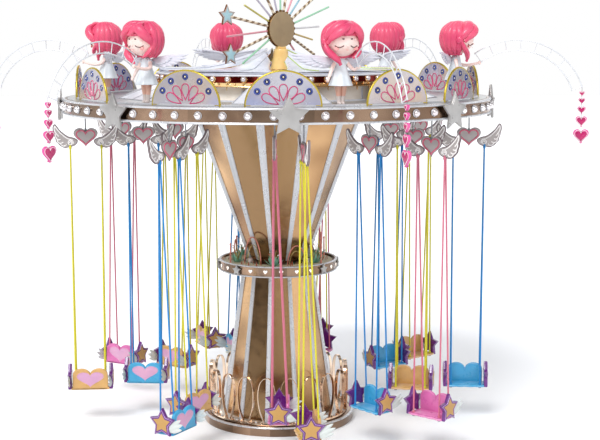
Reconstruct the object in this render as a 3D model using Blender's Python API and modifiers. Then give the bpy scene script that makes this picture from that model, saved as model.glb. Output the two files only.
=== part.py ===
"""Chair swing ride: a turning crown on a waisted tower, with two rings of hanging chairs.

Metres, +Z up. The origin is the centre of the plinth's underside, and the front is -Y.
A bearing is an angle about +Z counted from the front (-Y) towards +X.
"""

import math

import bmesh
import bpy
from mathutils import Matrix, Vector

GAP = 0.0003
RUNNING_GAP = 0.010
SIDES = 12
RIB_BEARING = math.radians(19.4)

# Plinth, fence and tower
PLINTH_RADIUS = 1.315
PLINTH_HEIGHT = 0.160
PLINTH_RIM = 0.035
RIM_PROUD = 0.015
FENCE_RADIUS = 1.18
FENCE_LOOPS = 20
FENCE_BEARING = math.radians(9.5)
FENCE_RAIL = (0.060, 0.035)
LOOP_HEIGHT = 0.800
LOOP_HALF_WIDTH = 0.150
LOOP_FOOT_HALF_WIDTH = 0.055
LOOP_STRIP = 0.020
LOOP_DEPTH = 0.055
TOWER_FOOT_RADIUS = 0.955
TOWER_HEAD_RADIUS = 0.600
TOWER_RIB = 0.080
RIB_PROUD = 0.022

# Collar tray and what stands in it
COLLAR_RADIUS = 1.020
COLLAR_BOTTOM = 2.635
COLLAR_FLOOR = 2.775
COLLAR_TOP = 2.822
COLLAR_LIP = 0.035
HUB_RADIUS = 0.440
HUB_TOP = 2.830
COLLAR_STAR_RADIUS = 0.090
COLLAR_STAR_BEARINGS = [math.radians(4 + 45 * k) for k in (1, 2, 3, 5, 6, 7)]
BED_INNER = 0.600
BED_OUTER = 0.940
BED_THICKNESS = 0.012
HOOPS = 6
HOOP_WIRE = 0.011
POST_HEIGHT = 0.340

# Cone and crown
CONE_FOOT_RADIUS = 0.495
CONE_HEAD_RADIUS = 1.510
CONE_RIB_FOOT = 0.060
CONE_RIB_HEAD = 0.160
CROWN_RADIUS = 3.600
CROWN_TOP = 5.600
CROWN_BOTTOM = 5.350
DECK_THICKNESS = 0.060
BAND_WALL = 0.065
BAND_STARS = 8
BAND_STAR_BEARING = math.radians(3.7)
BAND_STAR_RADIUS = 0.310
BAND_STAR_THICKNESS = 0.045
BAND_STAR_STANDOFF = 0.045

# Arched panels, two between each pair of dolls
DOLL_BEARING = math.radians(19.4)
DOLLS = 6
PANEL_RING = 3.340
PANEL_BEARINGS = [-22.8, 2.6, 33.7, 60.3, 94.5, 121.5, 156.2, 182.6, 216.2, 242.6, 274.8, 300.7]
PANEL_WIDTH = 1.150
PANEL_HEIGHT = 0.540
PANEL_THICKNESS = 0.050
CURB = (0.110, 0.030)

# Upper tier, roof and sunburst
TIER_WALL_RADIUS = 1.950
TIER_BAND_RADIUS = 2.060
TIER_BAND_BOTTOM = 5.830
TIER_TOP = 6.030
APRON_BEARING = math.radians(2.6)
APRON_TOP = (2.060, 0.500)
APRON_FOOT = (2.600, 0.760)
ROOF_SAILS = 6
ROOF_VALLEY_BEARING = math.radians(2)
ROOF_VALLEY = 6.050
ROOF_PROFILE = [(2.000, 6.075, 0.50), (1.210, 6.090, 0.50), (0.820, 6.185, 0.50),
                (0.480, 6.290, 0.25), (0.300, 6.345, 0.20)]
MAST_SHIFT = 0.060
MAST_FOOT_RADIUS = 0.190
MAST_HEAD_RADIUS = 0.115
MAST_HEAD = 6.400
SUN_CENTRE = 6.725
SUN_RADIUS = 0.300
SUN_THICKNESS = 0.080
SUN_TURN = math.radians(46)
RAY_RADIUS = 0.016
STRIPED_RAY_RADIUS = 0.023
RAYS = [(-47.5, 0.476), (-27.7, 0.926), (-12.8, 0.790), (3.0, 0.932), (18.1, 1.242), (33.6, 1.220),
        (48.0, 1.050), (61.7, 1.150), (77.0, 1.250), (90.8, 1.200), (106.8, 1.100), (122.2, 1.250),
        (138.5, 1.150), (154.9, 0.925), (169.9, 1.260), (185.3, 1.240), (199.3, 1.240),
        (211.9, 1.043)]
STRIPED_RAYS = (1, 5, 8, 11, 14, 16)
STAR_RAYS = (5, 8, 11, 14, 16)
RAY_STAR_RADIUS = 0.180

# Ladder arcs with strings of hearts, each in a radial plane just beside its doll's
ARC_TURN = math.radians(2.0)
ARC_CENTRE = (4.010, 5.4146)
ARC_OUTER = 1.1354
ARC_INNER = 0.9654
ARC_START = math.radians(126.8)
ARC_END = math.radians(18.8)
ARC_STEPS = 8
ARC_BAR = 0.014
HEART_SIZES = [(5.665, 0.091), (5.545, 0.116), (5.395, 0.141), (5.210, 0.190), (4.965, 0.257)]
HEART_THICKNESS = 0.050
STRING_HALF_WIDTH = 0.008

# Dolls
DOLL_RADIUS = 3.020
DOLL_LEG = 0.290
DOLL_HEAD_RADIUS = 0.285
DOLL_HEAD_CENTRE = 0.945
DOLL_HEAD_FORWARD = 0.045

# Swings
OUTER_RING = 3.250
INNER_RING = 2.320
OUTER_BEARINGS = [8, 48.5, 86, 127, 166, 205, 241.5, 274.8, 331]
INNER_BEARINGS = [0, 40, 79.5, 120.5, 160, 199, 234, 266, 322.5]
PIVOT_HEIGHT = 5.400
PIVOT_PIN = 0.012
EAR = (0.060, 0.012, 0.190)
EAR_OFFSET = 0.026
ROD_RADIUS = 0.013
PLATE_CENTRE = 4.920
PLATE_THICKNESS = 0.052
PLATE_HEART = (0.390, 0.310)
ROPE_RADIUS = 0.0125
ROPE_TOP = (0.262, 4.840)
ROPE_FOOT = (0.250, 0.110, 0.850)
SEAT_SHIFT = 0.050
SEAT_STAR_CENTRE = 0.790
SEAT_STAR_RADIUS = 0.235
SEAT_STAR_THICKNESS = 0.065
SEAT_STAR_SPREAD = 0.350
SEAT_PAN = (0.660, 0.360, 0.050)
SEAT_PAN_BOTTOM = 0.590
SEAT_BACK = (0.600, 0.380, 0.050)
SEAT_COLOURS = {"gold": (0.62, 0.40, 0.12), "blue": (0.06, 0.36, 0.58), "pink": (0.62, 0.16, 0.42)}
OUTER_COLOURS = ["gold", "pink", "blue", "gold", "gold", "gold", "pink", "gold", "blue"]
INNER_COLOURS = ["pink", "blue", "gold", "blue", "pink", "blue", "gold", "blue", "gold"]


def clear_scene():
    """Remove what the file opened with."""
    for item in list(bpy.data.objects):
        bpy.data.objects.remove(item, do_unlink=True)


def material(name, colour, metallic=0.0, roughness=0.4):
    """A plain Principled material, made once for each name."""
    found = bpy.data.materials.get(name)
    if found:
        return found
    made = bpy.data.materials.new(name)
    made.use_nodes = True
    shader = made.node_tree.nodes["Principled BSDF"]
    shader.inputs["Base Color"].default_value = (*colour, 1.0)
    shader.inputs["Metallic"].default_value = metallic
    shader.inputs["Roughness"].default_value = roughness
    return made


def place(item, matrix):
    """Move a working piece's mesh, leaving its object at the origin."""
    item.data.transform(matrix)
    if matrix.determinant() < 0:
        item.data.flip_normals()
    return item


def mesh_object(name, bm):
    """Turn a bmesh into a linked working object."""
    bmesh.ops.recalc_face_normals(bm, faces=bm.faces)
    mesh = bpy.data.meshes.new(name)
    bm.to_mesh(mesh)
    bm.free()
    item = bpy.data.objects.new(name, mesh)
    bpy.context.scene.collection.objects.link(item)
    return item


def baked(item):
    """Replace an object by the plain welded mesh that its curve or modifiers evaluate to."""
    graph = bpy.context.evaluated_depsgraph_get()
    mesh = bpy.data.meshes.new_from_object(item.evaluated_get(graph))
    mesh.transform(item.matrix_world)
    name = item.name
    bpy.data.objects.remove(item, do_unlink=True)
    bm = bmesh.new()
    bm.from_mesh(mesh)
    bmesh.ops.remove_doubles(bm, verts=bm.verts, dist=0.00002)
    return mesh_object(name, bm)


def box(size, centre):
    """A box of the given size about a centre."""
    bm = bmesh.new()
    bmesh.ops.create_cube(bm, size=1.0)
    item = mesh_object("box", bm)
    return place(item, Matrix.Translation(centre) @ Matrix.Diagonal((*size, 1.0)))


def bar(start, end, radius, sides=6, end_radius=None):
    """A straight round bar between two points, which may taper."""
    start, end = Vector(start), Vector(end)
    bm = bmesh.new()
    bmesh.ops.create_cone(bm, cap_ends=True, segments=sides, radius1=radius,
                          radius2=radius if end_radius is None else end_radius,
                          depth=(end - start).length)
    item = mesh_object("bar", bm)
    turn = (end - start).to_track_quat("Z", "Y").to_matrix().to_4x4()
    return place(item, Matrix.Translation((start + end) / 2) @ turn)


def ball(centre, radius, stretch=(1, 1, 1), columns=10, rows=6):
    """A faceted ball, which may be stretched along the axes."""
    bm = bmesh.new()
    bmesh.ops.create_uvsphere(bm, u_segments=columns, v_segments=rows, radius=radius)
    item = mesh_object("ball", bm)
    return place(item, Matrix.Translation(centre) @ Matrix.Diagonal((*stretch, 1.0)))


def plate(outlines, thickness):
    """A flat plate in the XY plane, centred on it, from closed outlines; later ones are holes."""
    curve = bpy.data.curves.new("plate", "CURVE")
    curve.dimensions = "2D"
    curve.fill_mode = "BOTH"
    curve.extrude = thickness / 2
    for outline in outlines:
        spline = curve.splines.new("POLY")
        spline.points.add(len(outline) - 1)
        for point, (x, y) in zip(spline.points, outline):
            point.co = (x, y, 0.0, 1.0)
        spline.use_cyclic_u = True
    item = bpy.data.objects.new("plate", curve)
    bpy.context.scene.collection.objects.link(item)
    return baked(item)


def turned(name, profile, steps, closed=False):
    """Spin a profile of (radius, height) points about Z; a closed one makes a ring."""
    bm = bmesh.new()
    verts = [bm.verts.new((radius, 0.0, height)) for radius, height in profile]
    for first, second in zip(verts, verts[1:]):
        bm.edges.new((first, second))
    if closed:
        bm.edges.new((verts[-1], verts[0]))
    mesh = bpy.data.meshes.new(name)
    bm.to_mesh(mesh)
    bm.free()
    item = bpy.data.objects.new(name, mesh)
    bpy.context.scene.collection.objects.link(item)
    screw = item.modifiers.new("Screw", "SCREW")
    screw.steps = steps
    screw.render_steps = steps
    screw.use_merge_vertices = True
    screw.merge_threshold = 0.0001
    screw.use_normal_calculate = True
    return baked(item)


def frustum(foot_radius, foot, head_radius, head, sides=SIDES, bearing=RIB_BEARING):
    """A many-sided frustum with a corner on the given bearing."""
    bm = bmesh.new()
    bmesh.ops.create_cone(bm, cap_ends=True, segments=sides, radius1=foot_radius,
                          radius2=head_radius, depth=head - foot)
    item = mesh_object("frustum", bm)
    lift = Matrix.Translation((0, 0, (foot + head) / 2))
    return place(item, lift @ Matrix.Rotation(bearing, 4, "Z"))


def combine(name, pieces, operation="UNION"):
    """Join pieces into one solid, or cut the later ones out of the first."""
    result = pieces[0]
    for piece in pieces[1:]:
        step = result.modifiers.new("Join", "BOOLEAN")
        step.operation = operation
        step.solver = "EXACT"
        step.object = piece
        result = baked(result)
        bpy.data.objects.remove(piece, do_unlink=True)
    result.name = name
    return result


def at_bearing(bearing, radius=0.0, height=0.0):
    """The frame of something built at the front (outwards is -Y) and carried round to a bearing."""
    turn = Matrix.Rotation(bearing, 4, "Z")
    return turn @ Matrix.Translation((0, -radius, height))


def facing_out():
    """Stand a plate drawn in XY upright, so that its face looks outwards along -Y."""
    return Matrix.Rotation(math.radians(90), 4, "X")


def facing_along():
    """Stand a plate drawn in XY in the radial plane: its +X points outwards along -Y."""
    return Matrix.Rotation(math.radians(-90), 4, "Z") @ facing_out()


def star_outline(radius, waist=0.5):
    """A five-pointed star with one point up."""
    points = []
    for k in range(10):
        reach = radius if k % 2 == 0 else radius * waist
        angle = math.radians(90 + 36 * k)
        points.append((reach * math.cos(angle), reach * math.sin(angle)))
    return points


def heart_outline(width, height, steps=14):
    """A heart about its own centre, from the usual sine curve."""
    points = []
    for k in range(steps):
        t = 2 * math.pi * k / steps
        x = 16 * math.sin(t) ** 3
        y = 13 * math.cos(t) - 5 * math.cos(2 * t) - 2 * math.cos(3 * t) - math.cos(4 * t)
        points.append((x / 32 * width, (y + 2.5) / 29 * height))
    return points


def arch_outline(width, height, steps=8):
    """A half ellipse standing on its diameter."""
    return [(width / 2 * math.cos(math.pi * k / steps), height * math.sin(math.pi * k / steps))
            for k in range(steps + 1)]


def finish(item, name, colour_name, smooth=False):
    """Name a finished sub-part, give it its material and put it in the ride's collection."""
    item.name = name
    item.data.name = name
    item.data.materials.clear()
    item.data.materials.append(MATERIALS[colour_name])
    if smooth:
        item.data.shade_smooth()
        item.data.set_sharp_from_angle(angle=math.radians(35))
    bpy.context.scene.collection.objects.unlink(item)
    RIDE.objects.link(item)
    return item


def banded_profile(radius, bottom, top, rim):
    """The outer side of a band with a proud rim along each edge, from top to bottom."""
    return [(radius, top), (radius, top - rim), (radius - RIM_PROUD, top - rim),
            (radius - RIM_PROUD, bottom + rim), (radius, bottom + rim), (radius, bottom)]


def build_plinth():
    """The round plinth that the ride stands on."""
    side = banded_profile(PLINTH_RADIUS, 0.0, PLINTH_HEIGHT, PLINTH_RIM)
    item = turned("base_platform", [(0, PLINTH_HEIGHT)] + side + [(0, 0)], 40)
    finish(item, "base_platform", "rose_gold", smooth=True)


def loop_outline(inset):
    """A tall pointed-oval loop on its foot, drawn in XY with the foot on the X axis."""
    right = []
    steps = 4
    for k in range(steps + 1):
        t = k / steps
        belly = math.sin(math.pi * t ** 0.80)
        half = LOOP_FOOT_HALF_WIDTH * (1 - t) + (LOOP_HALF_WIDTH - 0.02) * belly
        right.append((max(half - inset, 0.0), inset + t * (LOOP_HEIGHT - 2 * inset)))
    left = [(-x, y) for x, y in reversed(right[:-1])]
    return right + left


def build_fence():
    """A ring of tall loops bent from flat strip, joined by the rail that they stand on."""
    width, height = FENCE_RAIL
    low = PLINTH_HEIGHT + GAP
    rail = [(FENCE_RADIUS + width / 2, low + height), (FENCE_RADIUS + width / 2, low),
            (FENCE_RADIUS - width / 2, low), (FENCE_RADIUS - width / 2, low + height)]
    ring = turned("rail", rail, FENCE_LOOPS, closed=True)
    half_step = math.pi / FENCE_LOOPS
    pieces = [place(ring, Matrix.Rotation(FENCE_BEARING - half_step, 4, "Z"))]
    for k in range(FENCE_LOOPS):
        loop = plate([loop_outline(0.0), loop_outline(LOOP_STRIP)], LOOP_DEPTH)
        bearing = FENCE_BEARING + 2 * math.pi * k / FENCE_LOOPS
        pieces.append(place(loop, at_bearing(bearing, FENCE_RADIUS, low + height / 3) @ facing_out()))
    finish(combine("loop_fence", pieces), "loop_fence", "rose_gold")


def rib_cage(name, foot, head, foot_width, head_width, ring_height):
    """A rib along each corner of a frustum, joined by a ring at each end, standing just off it."""
    bm = bmesh.new()
    shells = []
    for lift in (GAP, GAP + RIB_PROUD):
        corners = []
        for radius, height in (foot, head):
            radius += lift / math.cos(math.pi / SIDES)
            corners.append([at_bearing(RIB_BEARING + 2 * math.pi * k / SIDES, radius,
                                       height).translation for k in range(SIDES)])
        rise = ring_height / (head[1] - foot[1])
        windows = []
        for k in range(SIDES):
            after = (k + 1) % SIDES
            window = []
            for up, near, far in ((rise, k, after), (rise, after, k), (1 - rise, after, k),
                                  (1 - rise, k, after)):
                low_near, high_near = corners[0][near], corners[1][near]
                start = low_near.lerp(high_near, up)
                end = corners[0][far].lerp(corners[1][far], up)
                width = foot_width + (head_width - foot_width) * up
                window.append(bm.verts.new(start + (end - start).normalized() * width / 2))
            windows.append(window)
        rings = [[bm.verts.new(corner) for corner in level] for level in corners]
        shells.append((rings, windows))
    for rings, windows in shells:
        for k in range(SIDES):
            after = (k + 1) % SIDES
            frame = (rings[0][k], rings[0][after], rings[1][after], rings[1][k])
            for n in range(4):
                m = (n + 1) % 4
                bm.faces.new((frame[n], frame[m], windows[k][m], windows[k][n]))
    (inner_rings, inner_windows), (outer_rings, outer_windows) = shells
    for k in range(SIDES):
        after = (k + 1) % SIDES
        for level in (0, 1):
            bm.faces.new((inner_rings[level][k], inner_rings[level][after],
                          outer_rings[level][after], outer_rings[level][k]))
        for n in range(4):
            m = (n + 1) % 4
            bm.faces.new((inner_windows[k][n], inner_windows[k][m],
                          outer_windows[k][m], outer_windows[k][n]))
    return mesh_object(name, bm)


def build_tower():
    """The fixed lower tower: a faceted shaft with a rib on each corner."""
    foot = PLINTH_HEIGHT + GAP
    head = COLLAR_BOTTOM - GAP
    shaft = frustum(TOWER_FOOT_RADIUS, foot, TOWER_HEAD_RADIUS, head)
    finish(shaft, "lower_tower", "bronze")
    cage = rib_cage("lower_tower_ribs", (TOWER_FOOT_RADIUS, foot), (TOWER_HEAD_RADIUS, head),
                    TOWER_RIB, TOWER_RIB, 0.040)
    finish(cage, "lower_tower_ribs", "silver")


def build_collar():
    """The tray at the tower's waist, with the bearing hub in its middle and stars on its rim."""
    lip = COLLAR_RADIUS - COLLAR_LIP
    profile = [(0, HUB_TOP), (HUB_RADIUS, HUB_TOP), (HUB_RADIUS, COLLAR_FLOOR),
               (lip, COLLAR_FLOOR), (lip, COLLAR_TOP), (COLLAR_RADIUS, COLLAR_TOP),
               (COLLAR_RADIUS, COLLAR_BOTTOM), (0, COLLAR_BOTTOM)]
    pieces = [turned("collar_tray", profile, 40)]
    middle = (COLLAR_BOTTOM + COLLAR_TOP) / 2
    for bearing in COLLAR_STAR_BEARINGS:
        star = plate([star_outline(COLLAR_STAR_RADIUS)], 0.025)
        pieces.append(place(star, at_bearing(bearing, COLLAR_RADIUS + 0.010, middle) @ facing_out()))
    finish(combine("collar_tray", pieces), "collar_tray", "rose_gold", smooth=True)


def half_hoop(bearing, radius, half_width, height):
    """A standing half hoop of wire with both feet in the bed."""
    curve = bpy.data.curves.new("hoop", "CURVE")
    curve.dimensions = "3D"
    curve.bevel_depth = HOOP_WIRE
    curve.bevel_resolution = 0
    curve.use_fill_caps = True
    steps = 6
    spline = curve.splines.new("POLY")
    spline.points.add(steps)
    for k, point in enumerate(spline.points):
        angle = math.pi * k / steps
        point.co = (half_width * math.cos(angle), 0.0, height * math.sin(angle), 1.0)
    item = bpy.data.objects.new("hoop", curve)
    bpy.context.scene.collection.objects.link(item)
    return place(baked(item), at_bearing(bearing, radius, COLLAR_FLOOR + GAP + BED_THICKNESS / 2))


def build_garden():
    """The ring of hoops, posts and rosettes that stands in the collar tray."""
    low = COLLAR_FLOOR + GAP
    top = low + BED_THICKNESS
    bed = [(BED_OUTER, top), (BED_OUTER, low), (BED_INNER, low), (BED_INNER, top)]
    pieces = [turned("bed", bed, 18, closed=True)]
    for k in range(HOOPS):
        bearing = math.radians(26 + 360 * k / HOOPS)
        tall = 0.48 if k % 2 else 0.34
        pieces.append(half_hoop(bearing, 0.74, 0.17, tall))
        post = bearing + math.pi / HOOPS
        foot = at_bearing(post, 0.89, low + 0.004).translation
        pieces.append(bar(foot, foot + Vector((0, 0, POST_HEIGHT)), 0.016, 5))
        tuft = at_bearing(post, 0.76, low + 0.004).translation
        pieces.append(bar(tuft, tuft + Vector((0, 0, 0.15)), 0.085, 7, 0.030))
    finish(combine("collar_garden", pieces), "collar_garden", "leaf")


def build_cone():
    """The crown's inverted cone, which runs on the hub with a small gap."""
    foot = HUB_TOP + RUNNING_GAP
    head = CROWN_TOP - DECK_THICKNESS - GAP
    cone = frustum(CONE_FOOT_RADIUS, foot, CONE_HEAD_RADIUS, head)
    finish(cone, "upper_cone", "bronze")
    cage = rib_cage("upper_cone_ribs", (CONE_FOOT_RADIUS, foot), (CONE_HEAD_RADIUS, head),
                    CONE_RIB_FOOT, CONE_RIB_HEAD, 0.045)
    finish(cage, "upper_cone_ribs", "silver")


def build_deck():
    """The crown's round deck, with a pair of ears below it for each swing's pivot."""
    low = CROWN_TOP - DECK_THICKNESS
    edge = CROWN_RADIUS - BAND_WALL
    profile = [(0, CROWN_TOP), (edge, CROWN_TOP), (edge, low), (0, low)]
    pieces = [turned("crown_deck", profile, 60)]
    length, thickness, height = EAR
    for ring, bearings in ((OUTER_RING, OUTER_BEARINGS), (INNER_RING, INNER_BEARINGS)):
        for bearing in bearings:
            frame = at_bearing(math.radians(bearing), ring, low + 0.010 - height / 2)
            for side in (-1, 1):
                ear = box((thickness, length, height), (side * EAR_OFFSET, 0, 0))
                pieces.append(place(ear, frame))
    finish(combine("crown_deck", pieces), "crown_deck", "deck_mirror")


def build_band():
    """The band round the crown's edge, with eight stars on short bosses."""
    inner = CROWN_RADIUS - BAND_WALL + GAP
    profile = [(CROWN_RADIUS, CROWN_TOP), (CROWN_RADIUS, CROWN_BOTTOM), (inner, CROWN_BOTTOM),
               (inner, CROWN_TOP)]
    pieces = [turned("crown_band", profile, 60, closed=True)]
    middle = (CROWN_TOP + CROWN_BOTTOM) / 2
    back = CROWN_RADIUS + BAND_STAR_STANDOFF
    for k in range(BAND_STARS):
        frame = at_bearing(BAND_STAR_BEARING + 2 * math.pi * k / BAND_STARS)
        star = plate([star_outline(BAND_STAR_RADIUS)], BAND_STAR_THICKNESS)
        stand = Matrix.Translation((0, -back - BAND_STAR_THICKNESS / 2, middle)) @ facing_out()
        pieces.append(place(star, frame @ stand))
        boss = bar((0, -CROWN_RADIUS + 0.03, middle), (0, -back - 0.01, middle), 0.07, 5)
        pieces.append(place(boss, frame))
    finish(combine("crown_band", pieces), "crown_band", "rose_gold", smooth=True)


def build_panels():
    """Twelve arched panels round the crown, joined by the curb that they stand on."""
    width, height = CURB
    low = CROWN_TOP + GAP
    curb = [(PANEL_RING + width / 2, low + height), (PANEL_RING + width / 2, low),
            (PANEL_RING - width / 2, low), (PANEL_RING - width / 2, low + height)]
    pieces = [turned("curb", curb, 36, closed=True)]
    for bearing in PANEL_BEARINGS:
        arch = plate([arch_outline(PANEL_WIDTH, PANEL_HEIGHT - height / 2)], PANEL_THICKNESS)
        frame = at_bearing(math.radians(bearing), PANEL_RING, low + height / 2)
        pieces.append(place(arch, frame @ facing_out()))
    finish(combine("arch_panels", pieces), "arch_panels", "panel_silver")


def build_tier():
    """The upper tier: a drum with a wider band, and sloping aprons round its foot."""
    low = CROWN_TOP + GAP
    profile = [(0, TIER_TOP), (TIER_BAND_RADIUS, TIER_TOP), (TIER_BAND_RADIUS, TIER_BAND_BOTTOM),
               (TIER_WALL_RADIUS, TIER_BAND_BOTTOM), (TIER_WALL_RADIUS, low), (0, low)]
    finish(turned("tier_drum", profile, 48), "tier_drum", "cream", smooth=True)
    top_radius, top_half = APRON_TOP
    foot_radius, foot_half = APRON_FOOT
    wall = TIER_WALL_RADIUS + 0.02
    ring = [(wall + 0.06, low + 0.02), (wall + 0.06, low), (wall, low), (wall, low + 0.02)]
    pieces = [turned("apron_ring", ring, 24, closed=True)]
    high = TIER_BAND_BOTTOM - GAP
    back = wall + 0.04
    for k in range(DOLLS):
        wedge = box((1, 1, 1), (0, 0, 0))
        for vertex in wedge.data.vertices:
            x, y, z = vertex.co
            radius, half = (top_radius, top_half) if z > 0 else (foot_radius, foot_half)
            vertex.co = (math.copysign(half, x), -radius if y < 0 else -back,
                         high if z > 0 else low)
        pieces.append(place(wedge, at_bearing(APRON_BEARING + math.pi * k / 3)))
    finish(combine("tier_apron", pieces), "tier_apron", "white")


def build_roof():
    """The roof's sails over the upper tier, with deep valleys, open in the middle for the mast."""
    count = ROOF_SAILS * 4
    bm = bmesh.new()
    rings = []

    def add_ring(radius, middle, heights):
        ring = []
        for k in range(count):
            angle = ROOF_VALLEY_BEARING + 2 * math.pi * k / count
            ring.append(bm.verts.new((middle + radius * math.sin(angle),
                                      -radius * math.cos(angle), heights[k % 4])))
        rings.append(ring)

    def middle_at(radius):
        return MAST_SHIFT * (ROOF_PROFILE[0][0] - radius) / (ROOF_PROFILE[0][0]
                                                            - ROOF_PROFILE[-1][0])

    for radius, ridge, share in ROOF_PROFILE:
        slope = ROOF_VALLEY + (ridge - ROOF_VALLEY) * share
        add_ring(radius, middle_at(radius), (ROOF_VALLEY, slope, ridge, slope))
    for radius in (ROOF_PROFILE[-1][0], ROOF_PROFILE[0][0]):
        add_ring(radius, middle_at(radius), [TIER_TOP + GAP] * 4)
    for first, second in zip(rings, rings[1:] + rings[:1]):
        for k in range(count):
            after = (k + 1) % count
            bm.faces.new((first[k], first[after], second[after], second[k]))
    finish(mesh_object("tent_roof", bm), "tent_roof", "white")


def build_mast():
    """The tapered mast in the middle of the roof."""
    mast = frustum(MAST_FOOT_RADIUS, TIER_TOP + GAP, MAST_HEAD_RADIUS, MAST_HEAD, 10, 0.0)
    place(mast, Matrix.Translation((MAST_SHIFT, 0, 0)))
    finish(mast, "mast", "butter")


def build_sunburst():
    """The upright disc with its fan of rods, on a short stem over the mast."""
    disc = bar((0, -SUN_THICKNESS / 2, 0), (0, SUN_THICKNESS / 2, 0), SUN_RADIUS, 24)
    stem_top = -SUN_RADIUS + 0.06
    stem_bottom = MAST_HEAD + GAP - SUN_CENTRE
    stem = box((0.10, 0.07, stem_top - stem_bottom), (0, 0, (stem_top + stem_bottom) / 2))
    pieces = [disc, stem]
    for k, (degrees, length) in enumerate(RAYS):
        angle = math.radians(degrees)
        along = Vector((math.cos(angle), 0, math.sin(angle)))
        radius = STRIPED_RAY_RADIUS if k in STRIPED_RAYS else RAY_RADIUS
        pieces.append(bar(along * (SUN_RADIUS - 0.04), along * length, radius, 5))
        if k in STAR_RAYS:
            star = plate([star_outline(RAY_STAR_RADIUS)], 0.035)
            pieces.append(place(star, Matrix.Translation(along * length) @ facing_out()))
    sun = combine("sunburst", pieces)
    stand = Matrix.Translation((MAST_SHIFT, 0, SUN_CENTRE))
    place(sun, stand @ Matrix.Rotation(SUN_TURN, 4, "Z"))
    finish(sun, "sunburst", "old_gold")


def arc_point(radius, angle):
    """A point of a ladder arc in the radial plane at the front."""
    return Vector((0, -ARC_CENTRE[0] - radius * math.cos(angle),
                   ARC_CENTRE[1] + radius * math.sin(angle)))


def ladder():
    """The bent ladder of one arc, cut from flat bar with a window between each pair of rungs."""
    step = (ARC_END - ARC_START) / ARC_STEPS
    half_rung = -ARC_BAR / ARC_OUTER
    outer, inner = ARC_OUTER + ARC_BAR, ARC_INNER - ARC_BAR
    angles = [ARC_START + step * k for k in range(ARC_STEPS + 1)]
    outlines = [[(outer, a) for a in angles] + [(inner, a) for a in reversed(angles)]]
    for k in range(ARC_STEPS):
        first = angles[k] + half_rung * (2 if k == 0 else 1)
        last = angles[k + 1] - half_rung * (2 if k == ARC_STEPS - 1 else 1)
        low, high = ARC_INNER + ARC_BAR, ARC_OUTER - ARC_BAR
        outlines.append([(low, first), (high, first), (high, last), (low, last)])
    flat = [[(ARC_CENTRE[0] + r * math.cos(a), ARC_CENTRE[1] + r * math.sin(a))
             for r, a in outline] for outline in outlines]
    return place(plate(flat, ARC_BAR * 2), facing_along())


def heart_string_outline(top):
    """Hearts threaded on a narrow strip, one below another, as a single outline."""
    right = [(STRING_HALF_WIDTH, top)]
    for height, width in HEART_SIZES:
        heart = heart_outline(width, width * 0.95, 10)
        right.append((STRING_HALF_WIDTH, height + heart[0][1]))
        right += [(x, height + y) for x, y in heart[1:5]]
        right.append((STRING_HALF_WIDTH, height + heart[5][1]))
    right.pop()
    tip = (0.0, height + heart[5][1])
    return right + [tip] + [(-x, y) for x, y in reversed(right)]


def build_heart_arcs():
    """Six bent ladders held out by the dolls, each with a string of hearts at its end."""
    pieces = [ladder()]
    angle = ARC_END + ARC_BAR / ARC_OUTER
    reach = arc_point(ARC_OUTER, angle)
    stand = Matrix.Translation((0, reach.y, 0)) @ facing_along()
    pieces.append(place(plate([heart_string_outline(reach.z)], HEART_THICKNESS), stand))
    mesh = combine("heart_arc", pieces).data
    for item in [found for found in bpy.context.scene.collection.objects if found.data == mesh]:
        bpy.data.objects.remove(item, do_unlink=True)
    for k in range(DOLLS):
        item = bpy.data.objects.new("heart_arc", mesh.copy())
        bpy.context.scene.collection.objects.link(item)
        place(item, at_bearing(DOLL_BEARING + ARC_TURN + 2 * math.pi * k / DOLLS))
        finish(item, f"heart_arc_{k + 1}", "pearl_white")


def doll_wing(side):
    """One of the doll's wings, as a leaf-shaped plate swept out and up behind the shoulders."""
    outline = [(0.04, -0.02), (0.20, -0.03), (0.36, -0.03), (0.58, 0.03), (0.74, 0.17),
               (0.46, 0.20), (0.20, 0.17), (0.04, 0.10)]
    wing = plate([outline], 0.035)
    if side < 0:
        place(wing, Matrix.Scale(-1, 4, (1, 0, 0)))
    turn = Matrix.Rotation(math.radians(-12 * side), 4, "Z")
    return place(wing, Matrix.Translation((0, 0.13, 0.56)) @ turn @ facing_out())


def build_dolls():
    """Six winged dolls on the crown, each holding the foot of its ladder arc."""
    waist = DOLL_LEG
    head = DOLL_HEAD_CENTRE
    grip = Matrix.Rotation(ARC_TURN, 3, "Z") @ arc_point(ARC_INNER - 0.015, ARC_START)
    hand = grip + Vector((0, DOLL_RADIUS + 0.020, -CROWN_TOP - GAP - 0.020))
    pieces = [bar((0, 0, waist - 0.02), (0, 0, 0.76), 0.205, 9, 0.070)]
    pieces.append(ball((0, -DOLL_HEAD_FORWARD, head), DOLL_HEAD_RADIUS, (1.05, 1.0, 1.0), 9, 6))
    for side in (-1, 1):
        pieces.append(bar((side * 0.07, 0, 0), (side * 0.07, 0, waist + 0.03), 0.045, 6, 0.062))
        shoulder = (side * 0.075, -0.02, 0.60)
        pieces.append(bar(shoulder, hand + Vector((side * 0.050, 0, 0)), 0.036, 5, 0.028))
        pieces.append(doll_wing(side))
    mesh = combine("doll", pieces).data
    for item in [found for found in bpy.context.scene.collection.objects if found.data == mesh]:
        bpy.data.objects.remove(item, do_unlink=True)
    for k in range(DOLLS):
        item = bpy.data.objects.new("doll", mesh.copy())
        bpy.context.scene.collection.objects.link(item)
        frame = at_bearing(DOLL_BEARING + 2 * math.pi * k / DOLLS, DOLL_RADIUS, CROWN_TOP + GAP)
        place(item, frame)
        finish(item, f"doll_{k + 1}", "white")


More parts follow.
